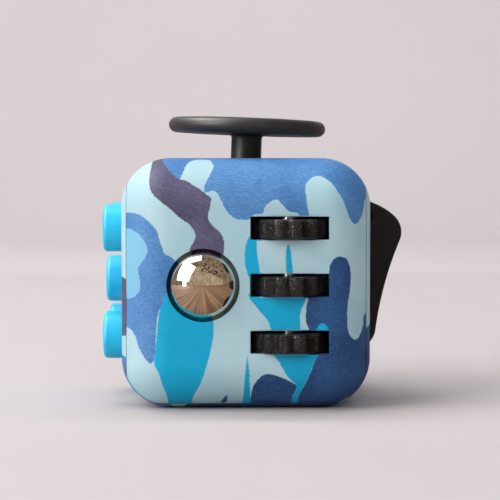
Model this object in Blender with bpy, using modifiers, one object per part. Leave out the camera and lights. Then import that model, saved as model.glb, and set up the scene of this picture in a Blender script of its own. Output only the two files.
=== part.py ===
"""A six-sided fidget cube: two interlocking shells round six small mechanisms, at its real size.

Run it with: blender --background --python part.py
Sizes are in metres, written as millimetres times MM. +Z is up and the front face looks along -Y.
Each face has an empty at its centre, whose own axes are across (X), up (Y) and out of the cube (Z).
A mechanism hangs from the empty of its face, so every depth below is measured from that face.
"""

import math

import bmesh
import bpy

MM = 0.001

# ---- casing
CUBE_SIDE = 33.0 * MM
CORNER = 6.5 * MM
WALL = 2.2 * MM
CORNER_SEGMENTS = 4
SEAM_INSET = 0.75 * MM
SEAM_GAP = 0.2 * MM
LIP_INSET = 4.4 * MM
POCKET_WALL = 1.4 * MM

# ---- clearances
GAP = 0.3 * MM
THIN_GAP = 0.1 * MM
RUNNING = 0.05 * MM
SLIDING = 0.15 * MM

# ---- screws and the bosses that take them
SCREW_RADIUS = 0.6 * MM
SCREW_HEAD = 1.1 * MM
SCREW_HEAD_HEIGHT = 0.6 * MM
SCREW_SOCKET = 0.5 * MM
BOSS_WALL = 0.6 * MM
PLATE = 1.2 * MM
SCREW_LENGTH = 5.0 * MM
BASE_SCREW_LENGTH = 3.0 * MM
CLICK_SCREW_LENGTH = 2.8 * MM

# ---- front face: thumbwheels on one axle
BALL_TO_WHEEL = 0.85 * MM
WHEEL_PITCH = 7.4 * MM
WHEEL_RADIUS = 4.9 * MM
WHEEL_THICK = 2.5 * MM
WHEEL_SINK = 2.9 * MM
WHEEL_LOBES = 12
LOBE_DEPTH = 0.55 * MM
WHEEL_PHASES = (-4.3, -1.8, 4.1)
SLOT_END = 1.15 * MM
SLOT_SIDE = 0.25 * MM
POCKET_END = 0.5 * MM
AXLE_RADIUS = 0.8 * MM
CRADLE_WIDTH = 2.6 * MM
RIB_THICK = 1.1 * MM
RIB_SPACE = 0.55 * MM

# ---- front face: steel ball in a sprung cup
BALL_ACROSS = -5.65 * MM
BALL_RADIUS = 5.5 * MM
BALL_OVERHANG = 0.75 * MM
CUP_FLOOR = 0.9 * MM
BALL_TRAVEL = 0.8 * MM
BALL_PLATE_HALF = (2.4 * MM, 10.5 * MM)

# ---- top face: joystick
DISC_RADIUS = 10.8 * MM
DISC_THICK = 2.05 * MM
DISC_TOP = 5.4 * MM
STEM_RADIUS = 2.1 * MM
PIVOT_SINK = 5.0 * MM
PIVOT_RADIUS = 2.9 * MM
JOYSTICK_LEAN = math.radians(2.05)
BEZEL_RADIUS = 5.6 * MM
BEZEL_BODY = 4.6 * MM
BEZEL_RISE = 0.2 * MM
BEZEL_RECESS = 0.6 * MM
BEZEL_MOUTH = 3.5 * MM
SEAT_MOUTH = 2.75 * MM
TAIL_RADIUS = 1.0 * MM
GIMBAL_RADIUS = 3.1 * MM
GIMBAL_THICK = 0.8 * MM
TILT_ACROSS = math.radians(12.0)
JOYSTICK_SPRING = 2.3 * MM
JOYSTICK_SPRING_HEIGHT = 2.2 * MM
BASE_RADIUS = 4.9 * MM
BASE_WALL = 0.7 * MM
BASE_FLOOR = 0.8 * MM
BASE_SCREW_OUT = 8.2 * MM
BASE_EAR = 1.9 * MM

# ---- left face: five push buttons
BUTTON_RADIUS = 3.15 * MM
BUTTON_RISE = 2.55 * MM
BUTTON_ROUND = 0.5 * MM
BUTTON_PITCH = 7.17 * MM
BUTTON_TRAVEL = 0.8 * MM
FLANGE_LIP = 0.6 * MM
FLANGE_THICK = 0.9 * MM
POST_RADIUS = 1.1 * MM
POST_LENGTH = 0.5 * MM
DOME_RADIUS = 2.6 * MM
DOME_HEIGHT = 0.65 * MM
DOME_SHEET = 0.15 * MM
PAD_RADIUS = 1.8 * MM
CLICK_PLATE_HALF = (10.6 * MM, 11.2 * MM)
CLICK_PLATE = 0.9 * MM
CLICK_SCREW_UP = 9.5 * MM

# ---- right face: rocker switch
ROCKER_WIDTH = 10.0 * MM
ROCKER_REACH = 10.4 * MM
ROCKER_SINK = 2.95 * MM
ROCKER_UP = 0.85 * MM
ROCKER_TILT = math.radians(15.0)
ROCKER_FACE = 5.65 * MM
ROCKER_DISH = 0.45 * MM
ROCKER_LIP = 6.6 * MM
ROCKER_TIP_ROUND = 1.9 * MM
ROCKER_ROOF = 1.4 * MM
ROCKER_SKIRT = 1.3 * MM
ROCKER_SKIRT_DEPTH = 2.5 * MM
ROCKER_NOSE = 4.0 * MM
ROCKER_HUB = 2.1 * MM
ROCKER_EDGE = 0.35 * MM
CHEEK = 1.2 * MM
CHEEK_HALF = 3.0 * MM
HOUSING_DEPTH = 7.5 * MM
HOUSING_SCREW_ACROSS = 8.6 * MM
HOUSING_EAR = 1.6 * MM
PLUNGER_RADIUS = 1.0 * MM
PLUNGER_FLANGE = 1.3 * MM
PLUNGER_TRAVEL = 0.6 * MM
BARREL_LENGTH = 5.3 * MM
BARREL_WALL = 0.45 * MM
DETENT_SPRING = 0.95 * MM

# ---- back face: spinning dial
DIAL_RADIUS = 9.6 * MM
DIAL_RISE = 1.4 * MM
DIAL_RECESS = 1.2 * MM
DIAL_ROUND = 0.7 * MM
DIAL_HUB = 2.0 * MM
DIMPLE_OUT = 5.4 * MM
DIMPLE_SPHERE = 6.0 * MM
DIMPLE_DEPTH = 0.9 * MM
DIAL_WASHER = 3.4 * MM
DIAL_WASHER_THICK = 0.7 * MM

# ---- bottom face: thumb dent
DENT_SPHERE = 24.0 * MM
DENT_DEPTH = 1.6 * MM
DENT_FLATTEN = 0.88
DENT_FLOOR = 1.3 * MM
DENT_MARGIN = 0.4 * MM

SPRING_WIRE = 0.22 * MM
COIL_STEPS = 8
LOBE_STEPS = 8
SHARP = 35.0
ROUND_STEPS = 24
SMALL_STEPS = 16
SCREW_STEPS = 12
MERGE = 0.00001
OVERLAP = 0.8 * MM
BIG = 60.0 * MM

HALF = CUBE_SIDE / 2
PINHOLE = SCREW_RADIUS + SLIDING
BOSS_RADIUS = PINHOLE + BOSS_WALL
BALL_CLEAR = BALL_RADIUS + SLIDING
BALL_MOUTH = BALL_RADIUS - BALL_OVERHANG
BALL_SINK = math.sqrt(BALL_CLEAR**2 - BALL_MOUTH**2)
CUP_RADIUS = BALL_MOUTH - SLIDING
WHEEL_ACROSS = BALL_ACROSS + BALL_RADIUS + BALL_TO_WHEEL + WHEEL_RADIUS
SLOT_WIDTH = 2 * (math.sqrt(WHEEL_RADIUS**2 - WHEEL_SINK**2) + SLOT_END)
SLOT_HEIGHT = WHEEL_THICK + 2 * SLOT_SIDE

BLACK = ((0.012, 0.012, 0.013), 0.45, 0.0)
GLOSS_BLACK = ((0.010, 0.010, 0.011), 0.3, 0.0)
CYAN = ((0.0, 0.42, 0.75), 0.35, 0.0)
PALE_BLUE = ((0.5, 0.72, 0.77), 0.5, 0.0)
STEEL = ((0.6, 0.6, 0.6), 0.08, 1.0)
SPRING_STEEL = ((0.45, 0.45, 0.46), 0.3, 1.0)
NYLON = ((0.75, 0.75, 0.72), 0.5, 0.0)
SILICONE = ((0.35, 0.36, 0.37), 0.7, 0.0)

FLAT = (0.0, 0.0, 0.0)
UPRIGHT = (-math.pi / 2, 0.0, 0.0)
SIDEWAYS = (0.0, -math.pi / 2, 0.0)


# ------------------------------------------------------------------ scene and materials
def clear_scene():
    for obj in list(bpy.data.objects):
        bpy.data.objects.remove(obj, do_unlink=True)


def collection(name):
    group = bpy.data.collections.new(name)
    bpy.context.scene.collection.children.link(group)
    return group


def material(name, finish):
    """A Principled BSDF material of its own for one piece."""
    colour, roughness, metallic = finish
    made = bpy.data.materials.new(name)
    made.use_nodes = True
    shader = made.node_tree.nodes["Principled BSDF"]
    shader.inputs["Base Color"].default_value = (*colour, 1.0)
    shader.inputs["Roughness"].default_value = roughness
    shader.inputs["Metallic"].default_value = metallic
    made.diffuse_color = (*colour, 1.0)
    return made


def empty(name, parent, location, rotation=FLAT):
    frame = bpy.data.objects.new(name, None)
    PARTS.objects.link(frame)
    frame.parent = parent
    frame.location = location
    frame.rotation_euler = rotation
    return frame


def place(name, mesh, group, parent, location=FLAT, rotation=FLAT):
    obj = bpy.data.objects.new(name, mesh)
    group.objects.link(obj)
    obj.parent = parent
    obj.location = location
    obj.rotation_euler = rotation
    return obj


def dress(obj, finish):
    """Gives a finished piece its material and smooth round sides."""
    obj.data.materials.clear()
    obj.data.materials.append(material(obj.name, finish))
    obj.data.shade_smooth()
    obj.data.set_sharp_from_angle(angle=math.radians(SHARP))


def as_helper(obj):
    obj.hide_render = True
    obj.display_type = "WIRE"
    return obj


# ------------------------------------------------------------------ shapes
def mesh_from(name, fill):
    """A mesh made by fill, a function that adds geometry to an empty bmesh."""
    mesh = bpy.data.meshes.new(name)
    form = bmesh.new()
    fill(form)
    form.to_mesh(mesh)
    form.free()
    return mesh


def box_mesh(name, low, high):
    """A box between two opposite corners."""

    def fill(form):
        bmesh.ops.create_cube(form, size=1.0)
        bmesh.ops.scale(form, vec=[b - a for a, b in zip(low, high)], verts=form.verts)
        bmesh.ops.translate(form, vec=[(a + b) / 2 for a, b in zip(low, high)], verts=form.verts)

    return mesh_from(name, fill)


def rod_mesh(name, radius, bottom, top, steps=SMALL_STEPS):
    """A cylinder along Z between two heights."""

    def fill(form):
        bmesh.ops.create_cone(
            form, cap_ends=True, segments=steps, radius1=radius, radius2=radius, depth=top - bottom
        )
        bmesh.ops.translate(form, vec=(0.0, 0.0, (top + bottom) / 2), verts=form.verts)

    return mesh_from(name, fill)


def sphere_mesh(name, radius, around=ROUND_STEPS, rings=ROUND_STEPS // 2):
    def fill(form):
        bmesh.ops.create_uvsphere(form, u_segments=around, v_segments=rings, radius=radius)

    return mesh_from(name, fill)


def turned_mesh(name, profile, steps=ROUND_STEPS):
    """A (radius, height) profile turned about Z. It runs down the outside, top to bottom.

    A profile that starts and ends on the axis makes a solid, and any other is closed into a ring.
    """
    points = [(radius, 0.0, height) for radius, height in profile]
    edges = [(i, i + 1) for i in range(len(points) - 1)]
    if profile[0][0] > 0.0:
        edges.append((len(points) - 1, 0))
    line = bpy.data.meshes.new(name)
    line.from_pydata(points, edges, [])
    obj = place(name, line, CUTTERS, None)
    screw = obj.modifiers.new("turn", "SCREW")
    screw.steps = steps
    screw.render_steps = steps
    screw.use_merge_vertices = True
    screw.merge_threshold = MERGE
    return baked(obj)


def prism_mesh(name, outline, thickness):
    """A flat outline of (x, y) points made a plate of this thickness, centred on its own plane."""
    curve = bpy.data.curves.new(name, "CURVE")
    curve.dimensions = "2D"
    curve.fill_mode = "BOTH"
    curve.extrude = thickness / 2
    spline = curve.splines.new("POLY")
    spline.points.add(len(outline) - 1)
    for point, (x, y) in zip(spline.points, outline):
        point.co = (x, y, 0.0, 1.0)
    spline.use_cyclic_u = True
    return baked(place(name, curve, CUTTERS, None), tidy=True)


def coil_mesh(name, radius, height, turns, wire=SPRING_WIRE):
    """A compression spring standing on z = 0, whose wire closes up at both ends."""
    count = int(turns * COIL_STEPS) + 1
    curve = bpy.data.curves.new(name, "CURVE")
    curve.dimensions = "3D"
    curve.bevel_depth = wire
    curve.bevel_resolution = 2
    curve.use_fill_caps = True
    spline = curve.splines.new("POLY")
    spline.points.add(count - 1)
    for i, point in enumerate(spline.points):
        angle = 2 * math.pi * i / COIL_STEPS
        rise = wire + (height - 2 * wire) * i / (count - 1)
        point.co = (radius * math.cos(angle), radius * math.sin(angle), rise, 1.0)
    return baked(place(name, curve, CUTTERS, None))


def baked(obj, tidy=False):
    """The mesh of an object as its modifiers leave it, welded. The object itself is removed."""
    graph = bpy.context.evaluated_depsgraph_get()
    mesh = bpy.data.meshes.new_from_object(obj.evaluated_get(graph))
    mesh.name = obj.name
    form = bmesh.new()
    form.from_mesh(mesh)
    bmesh.ops.remove_doubles(form, verts=form.verts, dist=MERGE)
    if tidy:
        bmesh.ops.dissolve_limit(
            form, angle_limit=math.radians(1.0), verts=form.verts, edges=form.edges
        )
    form.to_mesh(mesh)
    form.free()
    bpy.data.objects.remove(obj, do_unlink=True)
    return mesh


def arc(centre, radius, start, end, count):
    """Points on a circle, from one angle to another in degrees."""
    angles = [math.radians(start + (end - start) * i / (count - 1)) for i in range(count)]
    return [(centre[0] + radius * math.cos(a), centre[1] + radius * math.sin(a)) for a in angles]


def rounded_rectangle(half_width, half_height, radius):
    corners = []
    for sx, sy, start in ((1, 1, 0), (-1, 1, 90), (-1, -1, 180), (1, -1, 270)):
        centre = (sx * (half_width - radius), sy * (half_height - radius))
        corners += arc(centre, radius, start, start + 90, 4)
    return corners


# ------------------------------------------------------------------ joining and cutting
def boolean(obj, tool, operation):
    change = obj.modifiers.new(tool.name, "BOOLEAN")
    change.operation = operation
    change.solver = "EXACT"
    change.object = tool


def boolean_all(obj, group, operation):
    change = obj.modifiers.new(group.name, "BOOLEAN")
    change.operation = operation
    change.solver = "EXACT"
    change.operand_type = "COLLECTION"
    change.collection = group


def round_edges(obj, width, segments, angle=None):
    bevel = obj.modifiers.new("round", "BEVEL")
    bevel.width = width
    bevel.segments = segments
    bevel.limit_method = "NONE" if angle is None else "ANGLE"
    if angle is not None:
        bevel.angle_limit = angle


def helper(mesh, group, parent, location=FLAT, rotation=FLAT):
    return as_helper(place(mesh.name, mesh, group, parent, location, rotation))


def boss(name, shell, face, at, depth):
    """A screw boss from the wall to this depth, with its blind pilot hole and the space it needs."""
    adds, holes, reliefs = shell
    spot = (at[0], at[1], 0.0)
    helper(rod_mesh(name, BOSS_RADIUS, -depth, -WALL + OVERLAP), adds, face, spot)
    space = rod_mesh(name + "_space", BOSS_RADIUS + THIN_GAP, -depth - THIN_GAP, -WALL)
    helper(space, reliefs, face, spot)
    hole = rod_mesh(name + "_hole", PINHOLE, -depth - GAP, -WALL + GAP)
    helper(hole, holes, face, spot)


def screws(name, face, spots, seat, length):
    """One screw for each spot, its head at this depth and its point towards the face."""
    socket = SCREW_HEAD_HEIGHT / 2
    profile = [
        (0.0, length),
        (SCREW_RADIUS * 0.6, length),
        (SCREW_RADIUS, length - SCREW_RADIUS),
        (SCREW_RADIUS, 0.0),
        (SCREW_HEAD, 0.0),
        (SCREW_HEAD, -SCREW_HEAD_HEIGHT),
        (SCREW_SOCKET, -SCREW_HEAD_HEIGHT),
        (SCREW_SOCKET * 0.8, -SCREW_HEAD_HEIGHT + socket),
        (0.0, -SCREW_HEAD_HEIGHT + socket),
    ]
    mesh = turned_mesh(name, profile, SCREW_STEPS)
    for number, (across, up) in enumerate(spots, start=1):
        copy = mesh.copy()
        screw = place(f"{name}_{number}", copy, PARTS, face, (across, up, -seat))
        dress(screw, SPRING_STEEL)


# ------------------------------------------------------------------ casing
def rounded_cube_mesh(name, inset):
    """The cube's outside, or its cavity when inset is the wall."""
    side = CUBE_SIDE - 2 * inset
    obj = place(name, box_mesh(name, (-side / 2,) * 3, (side / 2,) * 3), CUTTERS, None)
    round_edges(obj, CORNER - inset, CORNER_SEGMENTS)
    return baked(obj)


def casing(rig):
    """The two shells. One is the front, top and back, the other the left, bottom and right.

    Returns each shell with what the mechanisms add to it, cut from it and cut from the other one.
    """
    centre = (0.0, 0.0, HALF)
    seam = HALF - SEAM_INSET
    lip = HALF - LIP_INSET
    made = []
    for name in ("front_top_back_shell", "side_bottom_shell"):
        shell = place(name, rounded_cube_mesh(name, 0.0), PARTS, rig, centre)
        boolean(shell, CAVITY, "DIFFERENCE")
        outside = name == "side_bottom_shell"
        play = SEAM_GAP / 2 if outside else -SEAM_GAP / 2
        region = box_mesh(
            name + "_region",
            (-seam - play, -BIG, -seam - play),
            (seam + play, BIG, BIG),
        )
        region = helper(region, CUTTERS, rig, centre)
        lip_box = box_mesh(
            name + "_lip",
            (-BIG, -lip + play, -BIG),
            (BIG, lip - play, lip - play),
        )
        lip_box = helper(lip_box, CUTTERS, rig, centre)
        if outside:
            boolean(region, lip_box, "DIFFERENCE")
            boolean(shell, region, "DIFFERENCE")
        else:
            boolean(shell, region, "INTERSECT")
            boolean(shell, lip_box, "DIFFERENCE")
        adds = collection(name + "_bosses")
        holes = collection(name + "_holes")
        reliefs = collection(name + "_boss_spaces")
        made.append((shell, adds, holes, reliefs))
    return made


def finish_shell(shell, adds, holes, others_bosses):
    boolean_all(shell, adds, "UNION")
    boolean_all(shell, holes, "DIFFERENCE")
    boolean_all(shell, others_bosses, "DIFFERENCE")
    dress(shell, PALE_BLUE)


# ------------------------------------------------------------------ front face
def wheel_outline(phase):
    """Fat round lobes: the radius follows a flattened cosine, and the angle starts at the front."""
    points = []
    for i in range(WHEEL_LOBES * LOBE_STEPS):
        turn = 2 * math.pi * i / (WHEEL_LOBES * LOBE_STEPS)
        valley = (0.5 + 0.5 * math.cos(WHEEL_LOBES * turn)) ** 2
        radius = WHEEL_RADIUS - LOBE_DEPTH * valley
        angle = turn + math.radians(phase)
        points.append((radius * math.sin(angle), -radius * math.cos(angle)))
    return points


def thumbwheels(face, shell):
    """Three lobed wheels on one steel axle, held by a comb-shaped cradle."""
    holes = shell[1]
    axis = (WHEEL_ACROSS, 0.0, -WHEEL_SINK)
    outer_rib = WHEEL_PITCH + WHEEL_THICK / 2 + RIB_SPACE + RIB_THICK / 2
    axle_half = outer_rib + RIB_THICK / 2
    screw_up = axle_half + GAP + GAP + BOSS_RADIUS
    plate_front = -(WHEEL_SINK + WHEEL_RADIUS + GAP)
    plate_half = screw_up + SCREW_HEAD

    bore = helper(
        rod_mesh("wheel_bore", AXLE_RADIUS + RUNNING, -BIG, BIG), CUTTERS, face, axis, UPRIGHT
    )
    for number, phase in enumerate(WHEEL_PHASES, start=1):
        name = f"thumbwheel_{number}"
        up = (2 - number) * WHEEL_PITCH
        mesh = prism_mesh(name, wheel_outline(phase), WHEEL_THICK)
        wheel = place(name, mesh, PARTS, face, (WHEEL_ACROSS, up, -WHEEL_SINK), UPRIGHT)
        boolean(wheel, bore, "DIFFERENCE")
        dress(wheel, GLOSS_BLACK)
        slot = box_mesh(
            name + "_slot",
            (-SLOT_WIDTH / 2, -SLOT_HEIGHT / 2, -WALL - GAP),
            (SLOT_WIDTH / 2, SLOT_HEIGHT / 2, OVERLAP),
        )
        helper(slot, holes, face, (WHEEL_ACROSS, up, 0.0))

    axle_mesh = rod_mesh("wheel_axle", AXLE_RADIUS, -axle_half, axle_half)
    dress(place("wheel_axle", axle_mesh, PARTS, face, axis, UPRIGHT), STEEL)

    outline = [(plate_front - PLATE, -plate_half), (plate_front, -plate_half)]
    for up in (-outer_rib, -WHEEL_PITCH / 2, WHEEL_PITCH / 2, outer_rib):
        tip = -POCKET_WALL - GAP
        outline += [
            (plate_front, up - RIB_THICK / 2),
            (tip, up - RIB_THICK / 2),
            (tip, up + RIB_THICK / 2),
            (plate_front, up + RIB_THICK / 2),
        ]
    outline += [(plate_front, plate_half), (plate_front - PLATE, plate_half)]
    comb = prism_mesh("wheel_cradle", outline, CRADLE_WIDTH)
    cradle = place("wheel_cradle", comb, PARTS, face, (WHEEL_ACROSS, 0.0, 0.0), SIDEWAYS)
    boolean(cradle, bore, "DIFFERENCE")
    pocket = box_mesh(
        "wheel_pocket",
        (-WHEEL_RADIUS - POCKET_END, -axle_half - GAP, plate_front),
        (WHEEL_RADIUS + POCKET_END, axle_half + GAP, -POCKET_WALL),
    )
    helper(pocket, holes, face, (WHEEL_ACROSS, 0.0, 0.0))
    spots = [(WHEEL_ACROSS, screw_up), (WHEEL_ACROSS, -screw_up)]
    for number, spot in enumerate(spots, start=1):
        boss(f"cradle_boss_{number}", shell, face, spot, -plate_front - GAP)
        hole = rod_mesh(f"cradle_hole_{number}", PINHOLE, plate_front - BIG, plate_front + GAP)
        boolean(cradle, helper(hole, CUTTERS, face, (*spot, 0.0)), "DIFFERENCE")
    dress(cradle, NYLON)
    screws("cradle_screw", face, spots, -plate_front + PLATE + THIN_GAP, SCREW_LENGTH)


def roller_ball(face, shell):
    """A steel ball in a cup that clicks inwards on a snap dome."""
    holes = shell[1]
    centre = (BALL_ACROSS, 0.0, -BALL_SINK)
    ball = place("roller_ball", sphere_mesh("roller_ball", BALL_RADIUS), PARTS, face, centre)
    dress(ball, STEEL)
    socket = sphere_mesh("ball_socket", BALL_CLEAR, ROUND_STEPS + 8, ROUND_STEPS // 2 + 4)
    helper(socket, holes, face, centre)

    rim = math.degrees(math.asin(CUP_RADIUS / BALL_CLEAR))
    bowl = arc((0.0, 0.0), BALL_CLEAR, -90.0, -90.0 + rim, 7)
    floor = -BALL_CLEAR - CUP_FLOOR
    profile = [(CUP_RADIUS, bowl[-1][1]), (CUP_RADIUS, floor), (0.0, floor)]
    profile = [(0.0, bowl[0][1])] + bowl[1:-1] + profile
    cup = place("ball_cup", turned_mesh("ball_cup", profile), PARTS, face, centre)
    dress(cup, NYLON)

    back = -BALL_SINK + floor
    plate_front = back - BALL_TRAVEL - SLIDING
    dome = place("ball_dome", dome_mesh("ball_dome"), PARTS, face)
    dome.location = (BALL_ACROSS, 0.0, plate_front + THIN_GAP)
    dress(dome, SPRING_STEEL)
    half_width, half_height = BALL_PLATE_HALF
    outline = rounded_rectangle(half_width, half_height, SCREW_HEAD)
    mesh = prism_mesh("ball_retainer", outline, PLATE)
    at = (BALL_ACROSS, 0.0, plate_front - PLATE / 2)
    retainer = place("ball_retainer", mesh, PARTS, face, at)
    screw_up = half_height - BOSS_RADIUS
    spots = [(BALL_ACROSS, screw_up), (BALL_ACROSS, -screw_up)]
    for number, spot in enumerate(spots, start=1):
        boss(f"ball_boss_{number}", shell, face, spot, -plate_front - GAP)
        hole = rod_mesh(f"ball_hole_{number}", PINHOLE, plate_front - BIG, plate_front + GAP)
        boolean(retainer, helper(hole, CUTTERS, face, (*spot, 0.0)), "DIFFERENCE")
    dress(retainer, NYLON)
    screws("ball_screw", face, spots, -plate_front + PLATE + THIN_GAP, SCREW_LENGTH)


def dome_mesh(name):
    """A thin snap dome standing on z = 0: a shallow arch turned about its axis."""
    outer = []
    inner = []
    count = 4
    for i in range(count):
        radius = DOME_RADIUS * i / (count - 1)
        height = (DOME_HEIGHT - DOME_SHEET) * math.cos(radius / DOME_RADIUS * math.pi / 2)
        outer.append((radius, height + DOME_SHEET))
        inner.append((radius, height))
    return turned_mesh(name, outer + inner[::-1], SMALL_STEPS)


# ------------------------------------------------------------------ top face
def joystick(face, shell):
    """A disc on a stem that tilts on a round pivot.

    A slotted gimbal tips with it one way and lets it tip across, and a spring under the gimbal centres it.
    """
    holes = shell[1]
    pivot = empty("joystick_pivot", face, (0.0, 0.0, -PIVOT_SINK), (0.0, JOYSTICK_LEAN, 0.0))
    disc_top = PIVOT_SINK + DISC_TOP
    disc_round = DISC_THICK / 2
    disc_middle = disc_top - disc_round
    rim = arc((DISC_RADIUS - disc_round, disc_middle), disc_round, 90.0, -90.0, 7)
    neck = math.sqrt(PIVOT_RADIUS**2 - STEM_RADIUS**2)
    start = math.degrees(math.asin(neck / PIVOT_RADIUS))
    end = -math.degrees(math.acos(TAIL_RADIUS / PIVOT_RADIUS))
    knob = arc((0.0, 0.0), PIVOT_RADIUS, start, end, 9)
    gimbal_top = -PIVOT_RADIUS - GAP
    tail = gimbal_top - GIMBAL_THICK + THIN_GAP
    under = disc_top - DISC_THICK
    profile = [(0.0, disc_top)] + rim
    profile += [(STEM_RADIUS + disc_round / 2, under), (STEM_RADIUS, under - disc_round / 2)]
    profile += knob + [(TAIL_RADIUS, tail), (0.0, tail)]
    stick = place("joystick_stick", turned_mesh("joystick_stick", profile), PARTS, pivot)
    dress(stick, BLACK)

    gimbal_mesh = rod_mesh(
        "joystick_gimbal", GIMBAL_RADIUS, gimbal_top - GIMBAL_THICK, gimbal_top, ROUND_STEPS
    )
    gimbal = place("joystick_gimbal", gimbal_mesh, PARTS, pivot)
    slot_end = TAIL_RADIUS + SLIDING
    slot_half = slot_end + (GIMBAL_THICK - gimbal_top) * math.sin(TILT_ACROSS)
    slot_mesh = prism_mesh("gimbal_slot", rounded_rectangle(slot_half, slot_end, slot_end), BIG)
    boolean(gimbal, helper(slot_mesh, CUTTERS, pivot), "DIFFERENCE")
    dress(gimbal, NYLON)

    seat = PIVOT_RADIUS + THIN_GAP
    seat_start = math.degrees(math.acos(SEAT_MOUTH / seat))
    seat_arc = arc((0.0, -PIVOT_SINK), seat, seat_start / 2, seat_start, 3)
    bezel_foot = seat_arc[0][1]
    flange = -BEZEL_RECESS + THIN_GAP
    profile = [
        (BEZEL_RADIUS, BEZEL_RISE),
        (BEZEL_RADIUS, flange),
        (BEZEL_BODY, flange),
        (BEZEL_BODY, bezel_foot),
        *seat_arc,
        (BEZEL_MOUTH, BEZEL_RISE),
    ]
    bezel = place("joystick_bezel", turned_mesh("joystick_bezel", profile), PARTS, face)
    dress(bezel, BLACK)
    bore = rod_mesh("bezel_bore", BEZEL_BODY + SLIDING, -WALL - OVERLAP, OVERLAP, ROUND_STEPS)
    recess = rod_mesh("bezel_recess", BEZEL_RADIUS + SLIDING, -BEZEL_RECESS, OVERLAP, ROUND_STEPS)
    helper(bore, holes, face)
    helper(recess, holes, face)

    spring_top = -PIVOT_SINK + gimbal_top - GIMBAL_THICK - GAP - THIN_GAP
    floor = spring_top - JOYSTICK_SPRING_HEIGHT - THIN_GAP
    coil = coil_mesh("joystick_spring", JOYSTICK_SPRING, JOYSTICK_SPRING_HEIGHT, 3.5)
    spring = place("joystick_spring", coil, PARTS, face, (0.0, 0.0, floor + THIN_GAP))
    dress(spring, SPRING_STEEL)

    top = bezel_foot - GAP
    inner = BASE_RADIUS - BASE_WALL
    cup = [
        (0.0, floor),
        (inner, floor),
        (inner, top),
        (BASE_RADIUS, top),
        (BASE_RADIUS, floor - BASE_FLOOR),
        (0.0, floor - BASE_FLOOR),
    ]
    base = place("joystick_base", turned_mesh("joystick_base", cup), PARTS, face)
    ear = box_mesh(
        "base_ears",
        (-BASE_EAR, -BASE_SCREW_OUT - BOSS_RADIUS, top - PLATE),
        (BASE_EAR, BASE_SCREW_OUT + BOSS_RADIUS, top - THIN_GAP),
    )
    ears = helper(ear, CUTTERS, face)
    well = rod_mesh("base_well", inner + BASE_WALL / 2, top - BIG, top + BIG, ROUND_STEPS)
    boolean(ears, helper(well, CUTTERS, face), "DIFFERENCE")
    boolean(base, ears, "UNION")
    spots = [(0.0, BASE_SCREW_OUT), (0.0, -BASE_SCREW_OUT)]
    for number, spot in enumerate(spots, start=1):
        boss(f"base_boss_{number}", shell, face, spot, -top)
        hole = rod_mesh(f"base_hole_{number}", PINHOLE, top - BIG, top + GAP)
        boolean(base, helper(hole, CUTTERS, face, (*spot, 0.0)), "DIFFERENCE")
    dress(base, BLACK)
    screws("base_screw", face, spots, -top + PLATE + THIN_GAP, BASE_SCREW_LENGTH)


# ------------------------------------------------------------------ left face
def buttons(face, shell):
    """Five round buttons over three snap domes and two silent pads, in front of one plate."""
    holes = shell[1]
    flange_top = -WALL - GAP
    flange_back = flange_top - FLANGE_THICK
    post = flange_back - POST_LENGTH
    plate_front = post - BUTTON_TRAVEL - THIN_GAP
    rounding = arc((BUTTON_RADIUS - BUTTON_ROUND, BUTTON_RISE - BUTTON_ROUND), BUTTON_ROUND, 90, 0, 3)
    flange = BUTTON_RADIUS + FLANGE_LIP
    profile = [(0.0, BUTTON_RISE)] + rounding
    profile += [(BUTTON_RADIUS, flange_top), (flange, flange_top), (flange, flange_back)]
    profile += [(POST_RADIUS, flange_back), (POST_RADIUS, post), (0.0, post)]
    mesh = turned_mesh("push_button", profile)
    pad = rod_mesh("silent_pad", PAD_RADIUS, 0.0, DOME_HEIGHT)
    places = [("centre", 0, 0), ("top_front", 1, 1), ("bottom_front", 1, -1)]
    places += [("top_back", -1, 1), ("bottom_back", -1, -1)]
    for number, (word, across, up) in enumerate(places):
        at = (across * BUTTON_PITCH, up * BUTTON_PITCH, 0.0)
        dress(place(f"button_{word}", mesh.copy(), PARTS, face, at), CYAN)
        hole = rod_mesh(f"button_hole_{word}", BUTTON_RADIUS + SLIDING, -WALL - GAP, OVERLAP, ROUND_STEPS)
        helper(hole, holes, face, at)
        under = (at[0], at[1], plate_front + THIN_GAP / 2)
        clicks = number < 3
        form = dome_mesh(f"dome_{word}") if clicks else pad.copy()
        name = f"snap_dome_{word}" if clicks else f"silent_pad_{word}"
        dress(place(name, form, PARTS, face, under), SPRING_STEEL if clicks else SILICONE)

    outline = rounded_rectangle(*CLICK_PLATE_HALF, CORNER - WALL)
    mesh = prism_mesh("button_plate", outline, CLICK_PLATE)
    plate = place("button_plate", mesh, PARTS, face, (0.0, 0.0, plate_front - CLICK_PLATE / 2))
    spots = [(0.0, CLICK_SCREW_UP), (0.0, -CLICK_SCREW_UP)]
    for number, spot in enumerate(spots, start=1):
        boss(f"button_boss_{number}", shell, face, spot, -plate_front - GAP)
        hole = rod_mesh(f"button_screw_hole_{number}", PINHOLE, plate_front - BIG, plate_front + GAP)
        boolean(plate, helper(hole, CUTTERS, face, (*spot, 0.0)), "DIFFERENCE")
    dress(plate, NYLON)
    screws("button_screw", face, spots, -plate_front + CLICK_PLATE + THIN_GAP, CLICK_SCREW_LENGTH)


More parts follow.
